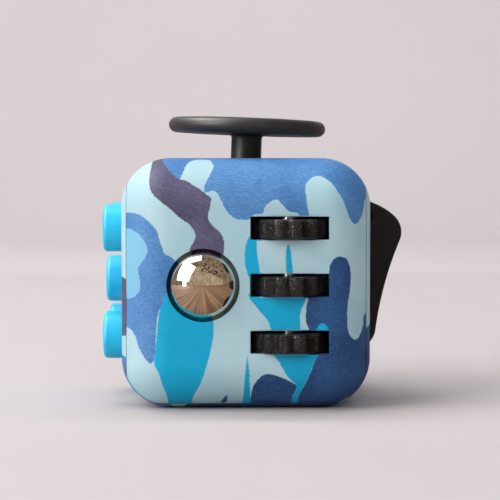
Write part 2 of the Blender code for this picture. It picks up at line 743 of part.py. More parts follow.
# ------------------------------------------------------------------ right face
def rocker_outline():
    """The rocker seen from its side, as (out, up) points about its pivot.

    The face is a shallow parabolic dish, each end is an arc about the pivot, and a round tip joins them.
    """
    face = []
    steps = 4
    for i in range(steps + 1):
        up = ROCKER_LIP * i / steps
        face.append((ROCKER_FACE + ROCKER_DISH * (up / ROCKER_LIP) ** 2, up))
    lip = face[-1][0]
    tip_end = math.degrees(math.asin((lip - ROCKER_TIP_ROUND) / ROCKER_REACH))
    arc_end = (ROCKER_REACH * math.sin(math.radians(tip_end)), ROCKER_REACH * math.cos(math.radians(tip_end)))
    corner = (lip, arc_end[1])
    tip = []
    for i in range(1, 4):
        t = i / 4
        weights = ((1 - t) ** 2, 2 * t * (1 - t), t**2)
        rows = zip(face[-1], corner, arc_end)
        tip.append(tuple(sum(w * value for w, value in zip(weights, row)) for row in rows))
    low = math.degrees(math.asin(-ROCKER_SKIRT_DEPTH / ROCKER_REACH))
    end = [(y, x) for x, y in arc((0.0, 0.0), ROCKER_REACH, tip_end, low, 5)]
    inside = ROCKER_REACH - ROCKER_SKIRT
    half = face + tip + end
    half += [(-ROCKER_SKIRT_DEPTH, inside - GAP), (ROCKER_ROOF, inside - GAP)]
    half += [(ROCKER_ROOF, ROCKER_HUB + GAP), (-ROCKER_HUB / 2, ROCKER_HUB)]
    half += [(-ROCKER_NOSE + GAP, GAP + GAP)]
    other = [(out, -up) for out, up in half[1:]]
    return half + [(-ROCKER_NOSE, 0.0)] + other[::-1]


def rocker_switch(face, shell):
    """A rocker on a pin, with a sprung plunger that its nose snaps over."""
    holes = shell[1]
    at = (0.0, ROCKER_UP, -ROCKER_SINK)
    pivot = empty("rocker_pivot", face, at, (ROCKER_TILT, 0.0, 0.0))
    rocker = place("rocker", prism_mesh("rocker", rocker_outline(), ROCKER_WIDTH), PARTS, pivot)
    rocker.rotation_euler = SIDEWAYS
    round_edges(rocker, ROCKER_EDGE, 2, math.radians(60.0))
    half = ROCKER_WIDTH / 2
    pin_half = half + GAP + CHEEK
    pin_bore = rod_mesh("rocker_pin_bore", AXLE_RADIUS + RUNNING, -BIG, BIG)
    pin_bore = helper(pin_bore, CUTTERS, face, at, SIDEWAYS)
    boolean(rocker, pin_bore, "DIFFERENCE")
    dress(rocker, BLACK)
    pin = rod_mesh("rocker_pin", AXLE_RADIUS, -pin_half, pin_half)
    dress(place("rocker_pin", pin, PARTS, face, at, SIDEWAYS), STEEL)

    opening_half = ROCKER_REACH + GAP
    opening = box_mesh(
        "rocker_opening",
        (-half - GAP, -opening_half, -WALL - GAP),
        (half + GAP, opening_half, OVERLAP),
    )
    helper(opening, holes, face, (0.0, ROCKER_UP, 0.0))
    pocket_up = HALF - LIP_INSET - ROCKER_UP + GAP
    pocket = box_mesh(
        "rocker_pocket",
        (-pin_half - GAP, -opening_half - GAP, -WALL - GAP),
        (pin_half + GAP, max(pocket_up, opening_half + GAP), -POCKET_WALL),
    )
    helper(pocket, holes, face, (0.0, ROCKER_UP, 0.0))

    back = -HOUSING_DEPTH
    cheek_top = -POCKET_WALL - GAP
    outline = [
        (-pin_half, back - PLATE),
        (pin_half, back - PLATE),
        (pin_half, cheek_top),
        (half + GAP, cheek_top),
        (half + GAP, back),
        (-half - GAP, back),
        (-half - GAP, cheek_top),
        (-pin_half, cheek_top),
    ]
    frame = prism_mesh("rocker_housing", outline, 2 * CHEEK_HALF)
    turn = (math.pi / 2, 0.0, 0.0)
    housing = place("rocker_housing", frame, PARTS, face, (0.0, ROCKER_UP, 0.0), turn)
    screw_up = WHEEL_PITCH / 2
    ears = box_mesh(
        "housing_ears",
        (-HOUSING_SCREW_ACROSS - BOSS_RADIUS, screw_up - HOUSING_EAR, back - PLATE + THIN_GAP),
        (HOUSING_SCREW_ACROSS + BOSS_RADIUS, screw_up + HOUSING_EAR, back - THIN_GAP),
    )
    boolean(housing, helper(ears, CUTTERS, face), "UNION")
    bore_radius = PLUNGER_FLANGE + SLIDING
    barrel_back = back - PLATE - BARREL_LENGTH
    barrel = rod_mesh("detent_barrel", bore_radius + BARREL_WALL, barrel_back, back - PLATE / 2)
    boolean(housing, helper(barrel, CUTTERS, face, (0.0, ROCKER_UP, 0.0)), "UNION")
    bore_floor = barrel_back + OVERLAP
    bore = rod_mesh("detent_bore", bore_radius, bore_floor, back - PLATE)
    boolean(housing, helper(bore, CUTTERS, face, (0.0, ROCKER_UP, 0.0)), "DIFFERENCE")
    nose_hole = rod_mesh("plunger_hole", PLUNGER_RADIUS + SLIDING, back - PLATE - GAP, back + GAP)
    boolean(housing, helper(nose_hole, CUTTERS, face, (0.0, ROCKER_UP, 0.0)), "DIFFERENCE")
    boolean(housing, pin_bore, "DIFFERENCE")
    spots = [(HOUSING_SCREW_ACROSS, screw_up), (-HOUSING_SCREW_ACROSS, screw_up)]
    for number, spot in enumerate(spots, start=1):
        boss(f"housing_boss_{number}", shell, face, spot, -back - GAP)
        hole = rod_mesh(f"housing_hole_{number}", PINHOLE, back - BIG, back + GAP)
        boolean(housing, helper(hole, CUTTERS, face, (*spot, 0.0)), "DIFFERENCE")
    dress(housing, NYLON)
    screws("housing_screw", face, spots, -back + PLATE + THIN_GAP, SCREW_LENGTH)

    tip = -ROCKER_SINK - ROCKER_NOSE - SLIDING
    stop = back - PLATE - THIN_GAP
    foot = stop - PLUNGER_TRAVEL
    dome = arc((0.0, tip - PLUNGER_RADIUS), PLUNGER_RADIUS, 90.0, 0.0, 4)
    profile = [(0.0, tip)] + dome[1:]
    profile += [(PLUNGER_RADIUS, stop), (PLUNGER_FLANGE, stop), (PLUNGER_FLANGE, foot), (0.0, foot)]
    plunger_mesh = turned_mesh("detent_plunger", profile, SMALL_STEPS)
    plunger = place("detent_plunger", plunger_mesh, PARTS, face, (0.0, ROCKER_UP, 0.0))
    dress(plunger, STEEL)
    height = foot - bore_floor - 2 * THIN_GAP
    coil = coil_mesh("detent_spring", DETENT_SPRING, height, 4.0)
    spring = place("detent_spring", coil, PARTS, face, (0.0, ROCKER_UP, bore_floor + THIN_GAP))
    dress(spring, SPRING_STEEL)


# ------------------------------------------------------------------ back face
def spinning_dial(face, shell):
    """A round dial with a finger dimple, sunk in the back and held by a washer and screw."""
    holes = shell[1]
    under = -DIAL_RECESS + GAP
    washer_top = -WALL - GAP - THIN_GAP
    hub_end = washer_top + THIN_GAP
    rounding = arc((DIAL_RADIUS - DIAL_ROUND, DIAL_RISE - DIAL_ROUND), DIAL_ROUND, 90.0, 0.0, 4)
    pilot_top = -GAP
    profile = [(0.0, DIAL_RISE)] + rounding
    profile += [(DIAL_RADIUS, under), (DIAL_HUB, under), (DIAL_HUB, hub_end)]
    profile += [(PINHOLE, hub_end), (PINHOLE, pilot_top), (0.0, pilot_top)]
    dial = place("dial", turned_mesh("dial", profile, ROUND_STEPS + 8), PARTS, face)
    dimple = sphere_mesh("dial_dimple", DIMPLE_SPHERE)
    at = (0.0, DIMPLE_OUT, DIAL_RISE + DIMPLE_SPHERE - DIMPLE_DEPTH)
    boolean(dial, helper(dimple, CUTTERS, face, at), "DIFFERENCE")
    dress(dial, BLACK)
    recess = rod_mesh("dial_recess", DIAL_RADIUS + GAP, -DIAL_RECESS, OVERLAP, ROUND_STEPS + 8)
    helper(recess, holes, face)
    hub_hole = rod_mesh("dial_hub_hole", DIAL_HUB + SLIDING, -WALL - OVERLAP, 0.0, ROUND_STEPS)
    helper(hub_hole, holes, face)

    ring = [
        (DIAL_WASHER, washer_top),
        (DIAL_WASHER, washer_top - DIAL_WASHER_THICK),
        (PINHOLE, washer_top - DIAL_WASHER_THICK),
        (PINHOLE, washer_top),
    ]
    washer = place("dial_washer", turned_mesh("dial_washer", ring, SMALL_STEPS), PARTS, face)
    dress(washer, SPRING_STEEL)
    seat = -washer_top + DIAL_WASHER_THICK + THIN_GAP
    screws("dial_screw", face, [(0.0, 0.0)], seat, seat + pilot_top - GAP)


# ------------------------------------------------------------------ bottom face
def thumb_dent(face, shell):
    """A shallow round dent in the bottom, with its floor thickened inside."""
    adds, holes = shell[:2]
    rim = math.sqrt(DENT_SPHERE**2 - (DENT_SPHERE - DENT_DEPTH) ** 2)
    pad = rod_mesh("dent_floor", rim + DENT_MARGIN, -DENT_DEPTH - DENT_FLOOR, -WALL + OVERLAP, ROUND_STEPS)
    dent = sphere_mesh("dent", DENT_SPHERE, 2 * ROUND_STEPS, 2 * ROUND_STEPS)
    middle = DENT_SPHERE - DENT_DEPTH
    for mesh in (pad, dent):
        for vertex in mesh.vertices:
            vertex.co.y *= DENT_FLATTEN
    helper(pad, adds, face)
    helper(dent, holes, face, (0.0, 0.0, middle))


# ------------------------------------------------------------------ assembly
def rocker_rise():
    """How far the rocker's higher end stands out of the face."""
    cos, sin = math.cos(ROCKER_TILT), math.sin(ROCKER_TILT)
    return max(out * cos + up * sin for out, up in rocker_outline()) - ROCKER_SINK


def build():
    """Builds every piece about the middle of the cube's foot, then centres the whole on its own box."""
    shift_across = (BUTTON_RISE - rocker_rise()) / 2
    shift_back = (BALL_RADIUS - BALL_SINK - DIAL_RISE) / 2
    rig = empty("cube_origin", None, (shift_across, shift_back, 0.0))
    CAVITY.parent = rig
    CAVITY.location = (0.0, 0.0, HALF)
    quarter = math.pi / 2
    front = empty("face_front", rig, (0.0, -HALF, HALF), (quarter, 0.0, 0.0))
    back = empty("face_back", rig, (0.0, HALF, HALF), (quarter, 0.0, 2 * quarter))
    left = empty("face_left", rig, (-HALF, 0.0, HALF), (quarter, 0.0, -quarter))
    right = empty("face_right", rig, (HALF, 0.0, HALF), (quarter, 0.0, quarter))
    top = empty("face_top", rig, (0.0, 0.0, CUBE_SIDE))
    bottom = empty("face_bottom", rig, FLAT, (2 * quarter, 0.0, 0.0))

    first, second = casing(rig)
    thumbwheels(front, first[1:])
    roller_ball(front, first[1:])
    joystick(top, first[1:])
    spinning_dial(back, first[1:])
    buttons(left, second[1:])
    rocker_switch(right, second[1:])
    thumb_dent(bottom, second[1:])
    finish_shell(*first[:3], second[3])
    finish_shell(*second[:3], first[3])


clear_scene()
PARTS = collection("fidget_cube")
CUTTERS = collection("cutters")
CAVITY = as_helper(place("cavity", rounded_cube_mesh("cavity", WALL), CUTTERS, None))
build()
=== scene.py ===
"""The finished look of a six-function fidget cube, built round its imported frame.

Lengths are in millimetres until a mesh is written. The cube's own axes start at its middle: X to the
right of the wheel face, Y away from it, Z up. Each mechanism sits on one face and is drawn in that
face's axes: across, up and out.
"""

import logging
import math
from dataclasses import dataclass, field
from enum import Enum
from typing import Iterable, Mapping, Protocol, Sequence, TypeAlias

import bmesh
import bpy
import numpy as np
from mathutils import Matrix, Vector

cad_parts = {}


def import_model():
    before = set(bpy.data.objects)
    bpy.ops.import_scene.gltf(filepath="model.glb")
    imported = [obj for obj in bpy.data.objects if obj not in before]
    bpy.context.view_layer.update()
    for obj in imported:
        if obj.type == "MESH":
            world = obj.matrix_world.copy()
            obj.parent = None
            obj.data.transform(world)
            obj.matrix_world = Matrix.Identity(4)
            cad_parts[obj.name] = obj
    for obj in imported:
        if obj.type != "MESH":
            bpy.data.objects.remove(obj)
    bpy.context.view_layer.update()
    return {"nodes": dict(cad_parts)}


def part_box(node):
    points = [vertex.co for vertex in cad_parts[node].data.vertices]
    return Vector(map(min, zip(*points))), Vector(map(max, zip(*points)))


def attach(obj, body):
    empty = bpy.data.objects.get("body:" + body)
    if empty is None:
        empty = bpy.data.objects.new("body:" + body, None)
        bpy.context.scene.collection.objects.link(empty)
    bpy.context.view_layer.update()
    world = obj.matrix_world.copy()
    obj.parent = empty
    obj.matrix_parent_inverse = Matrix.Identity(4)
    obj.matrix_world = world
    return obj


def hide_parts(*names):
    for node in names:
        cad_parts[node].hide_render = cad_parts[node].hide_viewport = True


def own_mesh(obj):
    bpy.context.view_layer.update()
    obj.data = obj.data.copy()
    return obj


MM = 0.001
LOG = logging.getLogger("fidget_cube")
Array = np.ndarray
Colour = tuple[float, float, float]
Input: TypeAlias = "Value | bpy.types.NodeSocket | float | tuple[float, ...]"


# ------------------------------------------------------------------ shader maths
class Value:
    """A number that varies over a surface, held as one output socket."""

    def __init__(self, tree: bpy.types.NodeTree, socket: bpy.types.NodeSocket) -> None:
        """Wraps a socket.

        Args:
            tree: the material's node tree.
            socket: the output that carries the number.
        """
        self.tree = tree
        self.socket = socket

    def math(self, operation: str, *operands: "Value | float", first: "Value | float | None" = None) -> "Value":
        """Adds one Math node.

        Args:
            operation: the node's operation.
            operands: the inputs after this value.
            first: put in front of this value, for the reflected operators.

        Returns:
            The node's result.
        """
        node = self.tree.nodes.new("ShaderNodeMath")
        node.operation = operation
        row = [self, *operands] if first is None else [first, self, *operands]
        for socket, operand in zip(node.inputs, row):
            feed(socket, operand)
        return Value(self.tree, node.outputs[0])

    def __add__(self, other: "Value | float") -> "Value":
        """Sum."""
        return self.math("ADD", other)

    def __sub__(self, other: "Value | float") -> "Value":
        """Difference."""
        return self.math("SUBTRACT", other)

    def __rsub__(self, other: float) -> "Value":
        """Reflected difference."""
        return self.math("SUBTRACT", first=other)

    def __mul__(self, other: "Value | float") -> "Value":
        """Product."""
        return self.math("MULTIPLY", other)

    __radd__ = __add__
    __rmul__ = __mul__

    def rise(self, start: float, end: float) -> "Value":
        """A smooth step.

        Args:
            start: where it leaves 0.
            end: where it reaches 1.

        Returns:
            The step, between 0 and 1.
        """
        node = self.tree.nodes.new("ShaderNodeMapRange")
        node.interpolation_type = "SMOOTHSTEP"
        node.inputs["From Min"].default_value = start
        node.inputs["From Max"].default_value = end
        self.tree.links.new(self.socket, node.inputs["Value"])
        return Value(self.tree, node.outputs[0])


def feed(socket: bpy.types.NodeSocket, value: Input) -> None:
    """Links an input to an output, or sets it.

    Args:
        socket: the input.
        value: what goes in. A colour may leave out its alpha, which is then 1.
    """
    if isinstance(value, Value):
        value = value.socket
    if isinstance(value, bpy.types.NodeSocket):
        socket.id_data.links.new(value, socket)
    elif isinstance(value, tuple) and len(value) < len(socket.default_value):
        socket.default_value = (*value, 1.0)
    else:
        socket.default_value = value


class Recipe:
    """One node material while it is being put together."""

    def __init__(self, name: str) -> None:
        """Starts an empty material.

        Args:
            name: the material's name.
        """
        self.material = bpy.data.materials.new(name)
        self.material.use_nodes = True
        self.tree = self.material.node_tree
        self.shader = self.tree.nodes["Principled BSDF"]
        self.place = self.node("ShaderNodeTexCoord").outputs["Object"]

    def node(
        self, kind: str, settings: Mapping[str, str] | None = None, inputs: Mapping[str | int, Input] | None = None
    ) -> bpy.types.Node:
        """Adds a node.

        Args:
            kind: the node's type.
            settings: its properties, set before its sockets.
            inputs: a value or an output socket for each named or numbered input.

        Returns:
            The node.
        """
        made = self.tree.nodes.new(kind)
        for key, value in (settings or {}).items():
            setattr(made, key, value)
        for key, value in (inputs or {}).items():
            feed(made.inputs[key], value)
        return made

    def value(self, node: bpy.types.Node, output: str | int = 0) -> Value:
        """The number at one output of a node."""
        return Value(self.tree, node.outputs[output])

    def attribute(self, name: str) -> Value:
        """A number stored on the mesh's points."""
        return self.value(self.node("ShaderNodeAttribute", {"attribute_name": name}), "Fac")

    def noise(
        self, size: float | tuple[float, float, float], detail: float = 2.0, offset: float = 0.0,
        swirl: float = 0.0, turn: float = 0.0,
    ) -> Value:
        """Soft noise about 0.5, on the object's own coordinates.

        Args:
            size: how wide a blob is in millimetres, or its width along each axis.
            detail: how many finer layers it has.
            offset: a shift in millimetres, so that two noises differ.
            swirl: how far it is distorted.
            turn: how far the long axis of its blobs is turned about Y, in degrees.

        Returns:
            The noise.
        """
        sizes = size if isinstance(size, tuple) else (size, size, size)
        inputs = {
            "Vector": self.place, "Location": (offset * MM, -offset * 0.7 * MM, offset * 1.3 * MM),
            "Rotation": (0.0, math.radians(turn), 0.0), "Scale": tuple(width * MM for width in sizes),
        }
        vector = self.node("ShaderNodeMapping", {"vector_type": "TEXTURE"}, inputs).outputs[0]
        inputs = {"Vector": vector, "Scale": 1.0, "Detail": detail, "Distortion": swirl}
        return self.value(self.node("ShaderNodeTexNoise", {"noise_dimensions": "3D"}, inputs))

    def blend(self, under: Input, over: Input, mask: Value) -> bpy.types.NodeSocket:
        """One colour laid over another where mask is 1."""
        return self.node("ShaderNodeMix", {"data_type": "RGBA"}, {0: mask, 6: under, 7: over}).outputs[2]

    def bump(
        self, height: Value, depth: float, strength: float = 1.0, under: bpy.types.NodeSocket | None = None
    ) -> bpy.types.NodeSocket:
        """The surface's normal, tilted by a height.

        Args:
            height: the height, from 0 to 1.
            depth: how many millimetres a height of 1 stands for.
            strength: the share of the tilt that is kept.
            under: another bump's normal below this one.

        Returns:
            The normal socket.
        """
        inputs: dict[str | int, Input] = {"Height": height, "Distance": depth * MM, "Strength": strength}
        if under is not None:
            inputs["Normal"] = under
        return self.node("ShaderNodeBump", None, inputs).outputs[0]

    def finish(self, **sockets: Input) -> bpy.types.Material:
        """Feeds the Principled BSDF.

        Args:
            sockets: one entry for each input, underscores for its spaces.

        Returns:
            The material.
        """
        for key, value in sockets.items():
            feed(self.shader.inputs[key.replace("_", " ")], value)
        return self.material


# ------------------------------------------------------------------ finishes
class Ink(Enum):
    """The printed colours, from the lowest to the topmost, and the mesh attribute that carries each."""

    SKY = "sky_patch"
    BLUE = "blue_patch"
    NAVY = "navy_patch"
    CYAN = "cyan_patch"
    PLUM = "plum_patch"


@dataclass(frozen=True)
class InkLook:
    """How one ink looks, and how it wanders where nothing is drawn."""

    thin: Colour
    full: Colour
    blob: float
    offset: float
    level: float


@dataclass(frozen=True)
class CamoPrint:
    """Soft-touch lacquer over a camouflage print of six colours."""

    name: str = "camo_print"
    slot: str = "camo_shell"
    pale: Colour = (0.35, 0.55, 0.62)
    pale_light: Colour = (0.43, 0.61, 0.665)
    looks: tuple[tuple[Ink, InkLook], ...] = (
        (Ink.SKY, InkLook((0.205, 0.47, 0.655), (0.165, 0.43, 0.63), 8.5, 31.0, 0.60)),
        (Ink.BLUE, InkLook((0.105, 0.28, 0.55), (0.034, 0.135, 0.365), 9.5, 3.0, 0.53)),
        (Ink.NAVY, InkLook((0.034, 0.112, 0.285), (0.010, 0.038, 0.120), 9.0, 71.0, 0.60)),
        (Ink.CYAN, InkLook((0.004, 0.39, 0.64), (0.002, 0.33, 0.56), 8.0, 57.0, 0.585)),
        (Ink.PLUM, InkLook((0.125, 0.118, 0.205), (0.055, 0.048, 0.100), 8.5, 83.0, 0.62)),
    )
    edge: float = 0.03
    serration: float = 0.18
    depth: float = 0.012
    roughness: float = 0.55
    specular: float = 0.2

    def material(self) -> bpy.types.Material:
        """Layers the inks.

        Each ink shows where its field is above zero. A field is the distance inside a drawn patch on
        and near the wheel face, and blends into noise on the others. Fine strokes run through each ink
        and fray its edge.

        Returns:
            The material.
        """
        recipe = Recipe(self.name)
        drawn = recipe.attribute("drawn_share")
        strokes = recipe.noise((0.8, 0.2, 0.12), detail=3.0, offset=1.0, swirl=0.6, turn=32.0)
        across = recipe.noise((0.7, 0.18, 0.11), detail=3.0, offset=9.0, swirl=0.8, turn=-8.0)
        grain = recipe.noise(0.22, detail=3.0, offset=4.0)
        ragged = (strokes + across + grain - 1.5) * self.serration
        weave = (strokes * 0.5 + across * 0.5).rise(0.36, 0.64)
        cloud = recipe.noise(5.0, detail=2.0, offset=11.0).rise(0.35, 0.7)
        colour = recipe.blend(self.pale, self.pale_light, cloud * 0.7 + grain * 0.3)
        inked: Value | None = None
        for ink, look in self.looks:
            blobs = recipe.noise(look.blob, detail=1.0, offset=look.offset, swirl=0.9)
            wandering = (blobs - look.level) * 2.0 * look.blob
            inside = recipe.attribute(ink.value) * drawn + wandering * (1.0 - drawn) + ragged
            mask = inside.rise(-self.edge, self.edge)
            shade = recipe.blend(look.thin, look.full, weave * 0.65 + cloud * 0.35)
            colour = recipe.blend(colour, shade, mask)
            inked = mask if inked is None else inked + mask
        fine_grain = recipe.bump(grain, self.depth, strength=0.5)
        normal = recipe.bump(weave * inked.rise(0.0, 1.0), self.depth, strength=0.6, under=fine_grain)
        rough = recipe.noise(3.0, detail=3.0, offset=5.0) * 0.12 + (self.roughness - 0.06)
        return recipe.finish(Base_Color=colour, Roughness=rough, Normal=normal, Specular_IOR_Level=self.specular)


@dataclass(frozen=True)
class Plastic:
    """Moulded plastic: a colour that mottles a little, and a grain from its mould."""

    name: str
    slot: str
    colour: Colour
    light: Colour
    roughness: float
    grain: float = 0.25
    grain_depth: float = 0.012
    speckle: float = 0.0
    speckle_depth: float = 0.16
    subsurface: float = 0.0
    specular: float = 0.5

    def material(self) -> bpy.types.Material:
        """Builds the node material."""
        recipe = Recipe(self.name)
        mottle = recipe.noise(2.2, 3.0).rise(0.3, 0.75)
        colour = recipe.blend(self.colour, self.light, mottle)
        moulded = recipe.noise(self.grain, detail=3.0, offset=7.0)
        rough = recipe.noise(1.4, detail=3.0, offset=19.0) * 0.14 + (self.roughness - 0.07)
        normal = recipe.bump(moulded, self.grain_depth, strength=0.8)
        if self.speckle > 0.0:
            specks = recipe.noise(0.2, detail=4.0, offset=41.0).rise(0.45, 0.62)
            rough = rough - specks * self.speckle
            normal = recipe.bump(specks, self.speckle_depth, under=normal)
        return recipe.finish(
            Base_Color=colour, Roughness=rough, Normal=normal, Subsurface_Weight=self.subsurface,
            Subsurface_Scale=0.4 * MM, Specular_IOR_Level=self.specular,
        )


@dataclass(frozen=True)
class Metal:
    """Metal: its tint, how rough it is and the fine lines that finishing left."""

    name: str
    slot: str
    tint: Colour
    shade: Colour
    roughness: float
    line: float = 0.12
    line_depth: float = 0.004
    stretch: tuple[float, float, float] = (1.0, 1.0, 1.0)

    def material(self) -> bpy.types.Material:
        """Builds the node material."""
        recipe = Recipe(self.name)
        cloud = recipe.noise(2.6, 3.0).rise(0.3, 0.75)
        width = tuple(self.line * factor for factor in self.stretch)
        lines = recipe.noise(width, 2.0, 2.0)
        rough = lines * (self.roughness * 0.5) + cloud * (self.roughness * 0.3) + self.roughness * 0.6
        return recipe.finish(
            Base_Color=recipe.blend(self.tint, self.shade, cloud), Metallic=1.0, Roughness=rough,
            Normal=recipe.bump(lines, self.line_depth, 0.35),
        )


@dataclass(frozen=True)
class Paint:
    """A matt studio surface with a faint unevenness."""

    name: str
    colour: Colour
    roughness: float = 0.75
    slot: str = ""

    def material(self) -> bpy.types.Material:
        """Builds the node material."""
        recipe = Recipe(self.name)
        cloud = recipe.noise(60.0, 2.0)
        light = tuple(min(1.0, c * 1.04) for c in self.colour)
        return recipe.finish(Base_Color=recipe.blend(self.colour, light, cloud), Roughness=self.roughness)


@dataclass(frozen=True)
class Boards:
    """A surface of two tones in long streaks that glows in its own colour: painted light, for what stands round the
    cube.
    """

    name: str
    light: Colour
    dark: Colour
    streak: tuple[float, float, float]
    glow: float
    fade: float | None = None
    slot: str = ""

    def material(self) -> bpy.types.Material:
        """Builds the node material."""
        recipe = Recipe(self.name)
        streaks = recipe.noise(self.streak, 3.0).rise(0.36, 0.64)
        colour = recipe.blend(self.dark, self.light, streaks)
        if self.fade is not None:
            across = recipe.value(recipe.node("ShaderNodeSeparateXYZ", None, {0: recipe.place}), "X")
            ragged = across + (recipe.noise(60.0, 3.0) - 0.5) * 0.25
            recipe.finish(Alpha=ragged.rise(self.fade, self.fade + 0.12))
        # The emission is painted light: the card glows in its own colour though it is no lamp.
        return recipe.finish(Base_Color=colour, Emission_Color=colour, Emission_Strength=self.glow, Roughness=0.8)


class Finish(Protocol):
    """What every finish has: its name, the record's slot that it belongs to, and its node material."""

    name: str
    slot: str

    def material(self) -> bpy.types.Material:
        """Builds the node material."""


class Finishes:
    """Every finish on the object. Each material is made once, when it is first asked for.

    The colours are linear, the darker of the two first for plastic and the lighter first for metal.
    """

    camo = CamoPrint()
    # One black plastic in copies: the joystick's copy is lighter as painted light on its shaded stem, and the copy for
    # the rocker and the joystick's ring is darker as painted shade on the shaded right face.
    light_raised_black = Plastic("joystick_black", "black_plastic", (0.018, 0.0175, 0.0185), (0.026, 0.025, 0.026), 0.47)
    shade_darkened_black = Plastic(
        "shade_darkened_black", "black_plastic", (0.007, 0.007, 0.008), (0.011, 0.011, 0.012), 0.5, specular=0.25
    )
    dial_black = Plastic("dial_black", "black_plastic", (0.014, 0.014, 0.015), (0.021, 0.021, 0.022), 0.45)
    wheel_black = Plastic(
        "thumbwheel_black", "wheel_black", (0.003, 0.0033, 0.004), (0.006, 0.006, 0.007), 0.26,
        grain=0.16, grain_depth=0.03, speckle=0.12, specular=0.45,
    )
    cyan = Plastic(
        "button_cyan", "cyan_button", (0.002, 0.48, 0.78), (0.005, 0.53, 0.83), 0.46,
        grain=0.3, grain_depth=0.008, subsurface=0.12,
    )
    nylon = Plastic(
        "natural_nylon", "natural_nylon", (0.62, 0.61, 0.56), (0.7, 0.69, 0.65), 0.5,
        grain=0.3, grain_depth=0.01, subsurface=0.2,
    )
    silicone = Plastic("grey_silicone", "grey_silicone", (0.22, 0.23, 0.24), (0.27, 0.28, 0.29), 0.7)
    # The ball's warm tint is partly the steel's own colour and partly a painted reflection of a warm wooden room.
    ball_steel = Metal(
        "polished_ball", "polished_steel", (0.80, 0.74, 0.66), (0.72, 0.66, 0.58), 0.05, line=0.5, line_depth=0.001
    )
    pin_steel = Metal(
        "ground_pin", "pin_steel", (0.62, 0.60, 0.57), (0.5, 0.48, 0.46), 0.3, line=0.1, stretch=(1.0, 1.0, 8.0)
    )
    spring_steel = Metal("drawn_wire", "spring_steel", (0.55, 0.55, 0.56), (0.42, 0.42, 0.43), 0.28)
    screw_steel = Metal("zinc_screw", "screw_steel", (0.6, 0.6, 0.62), (0.45, 0.45, 0.47), 0.34)

    _made: dict[str, bpy.types.Material] = {}

    @classmethod
    def of(cls, finish: Finish) -> bpy.types.Material:
        """The material of a finish, made the first time."""
        if finish.name not in cls._made:
            cls._made[finish.name] = finish.material()
        return cls._made[finish.name]


# ------------------------------------------------------------------ surfaces
@dataclass
class Surface:
    """Points and the faces between them."""

    points: Array
    quads: Array
    caps: list[Array] = field(default_factory=list)

    def mesh(self, name: str, weld: bool = True) -> bpy.types.Mesh:
        """Writes the mesh.

        Args:
            name: the mesh's name.
            weld: joins points that coincide and turns every face outwards.

        Returns:
            The mesh, in metres.
        """
        mesh = bpy.data.meshes.new(name)
        loops = np.concatenate([self.quads.reshape(-1), *self.caps]).astype(np.int32)
        sizes = np.array([4] * len(self.quads) + [len(cap) for cap in self.caps], np.int32)
        mesh.vertices.add(len(self.points))
        mesh.vertices.foreach_set("co", (self.points * MM).astype(np.float32).reshape(-1))
        mesh.loops.add(len(loops))
        mesh.loops.foreach_set("vertex_index", loops)
        mesh.polygons.add(len(sizes))
        mesh.polygons.foreach_set("loop_start", np.concatenate([[0], np.cumsum(sizes)[:-1]]).astype(np.int32))
        mesh.update(calc_edges=True)
        if weld:
            form = bmesh.new()
            form.from_mesh(mesh)
            bmesh.ops.remove_doubles(form, verts=form.verts, dist=0.0005 * MM)
            bmesh.ops.dissolve_degenerate(form, edges=form.edges, dist=0.0001 * MM)
            bmesh.ops.recalc_face_normals(form, faces=form.faces)
            form.to_mesh(mesh)
            form.free()
        return mesh


def grid(rows: int, columns: int, round_rows: bool = False, round_columns: bool = False) -> Array:
    """The quads of a grid of points.

    Args:
        rows: how many rows of points.
        columns: how many points in a row.
        round_rows: joins the last row to the first.
        round_columns: joins the last column to the first.

    Returns:
        An array of quads, four point numbers each.
    """
    i = np.arange(rows if round_rows else rows - 1)[:, None]
    j = np.arange(columns if round_columns else columns - 1)[None, :]
    after_i, after_j = (i + 1) % rows, (j + 1) % columns
    corners = [i * columns + j, i * columns + after_j, after_i * columns + after_j, after_i * columns + j]
    return np.stack([np.broadcast_to(corner, (i.size, j.size)) for corner in corners], -1).reshape(-1, 4)


def turned(profile: Iterable[Sequence[float]], steps: int = 96) -> Surface:
    """A profile carried once round the axis: each point goes to (r cos a, r sin a, h).

    Args:
        profile: (radius, height) points.
        steps: how many turns of the angle.

    Returns:
        The surface, closed at the axis or from the last point to the first.
    """
    line = np.asarray(list(profile), float)
    angle = np.linspace(0.0, 2 * np.pi, steps, endpoint=False)
    r, h = line[:, 0][:, None], line[:, 1][:, None]
    points = np.stack([r * np.cos(angle), r * np.sin(angle), h + 0 * angle], -1).reshape(-1, 3)
    ring = line[0, 0] > 1e-6
    return Surface(points, grid(len(line), steps, ring, True))


def arc(centre: Sequence[float], radius: float, start: float, end: float, count: int) -> list[tuple[float, float]]:
    """Points on a circle between two angles in degrees."""
    angles = np.radians(np.linspace(start, end, count))
    return [(centre[0] + radius * math.cos(a), centre[1] + radius * math.sin(a)) for a in angles]


def fine(low: float, high: float, ends: int) -> list[float]:
    """Evenly spaced numbers from low to high, both included."""
    return [low + (high - low) * i / (ends - 1) for i in range(ends)]


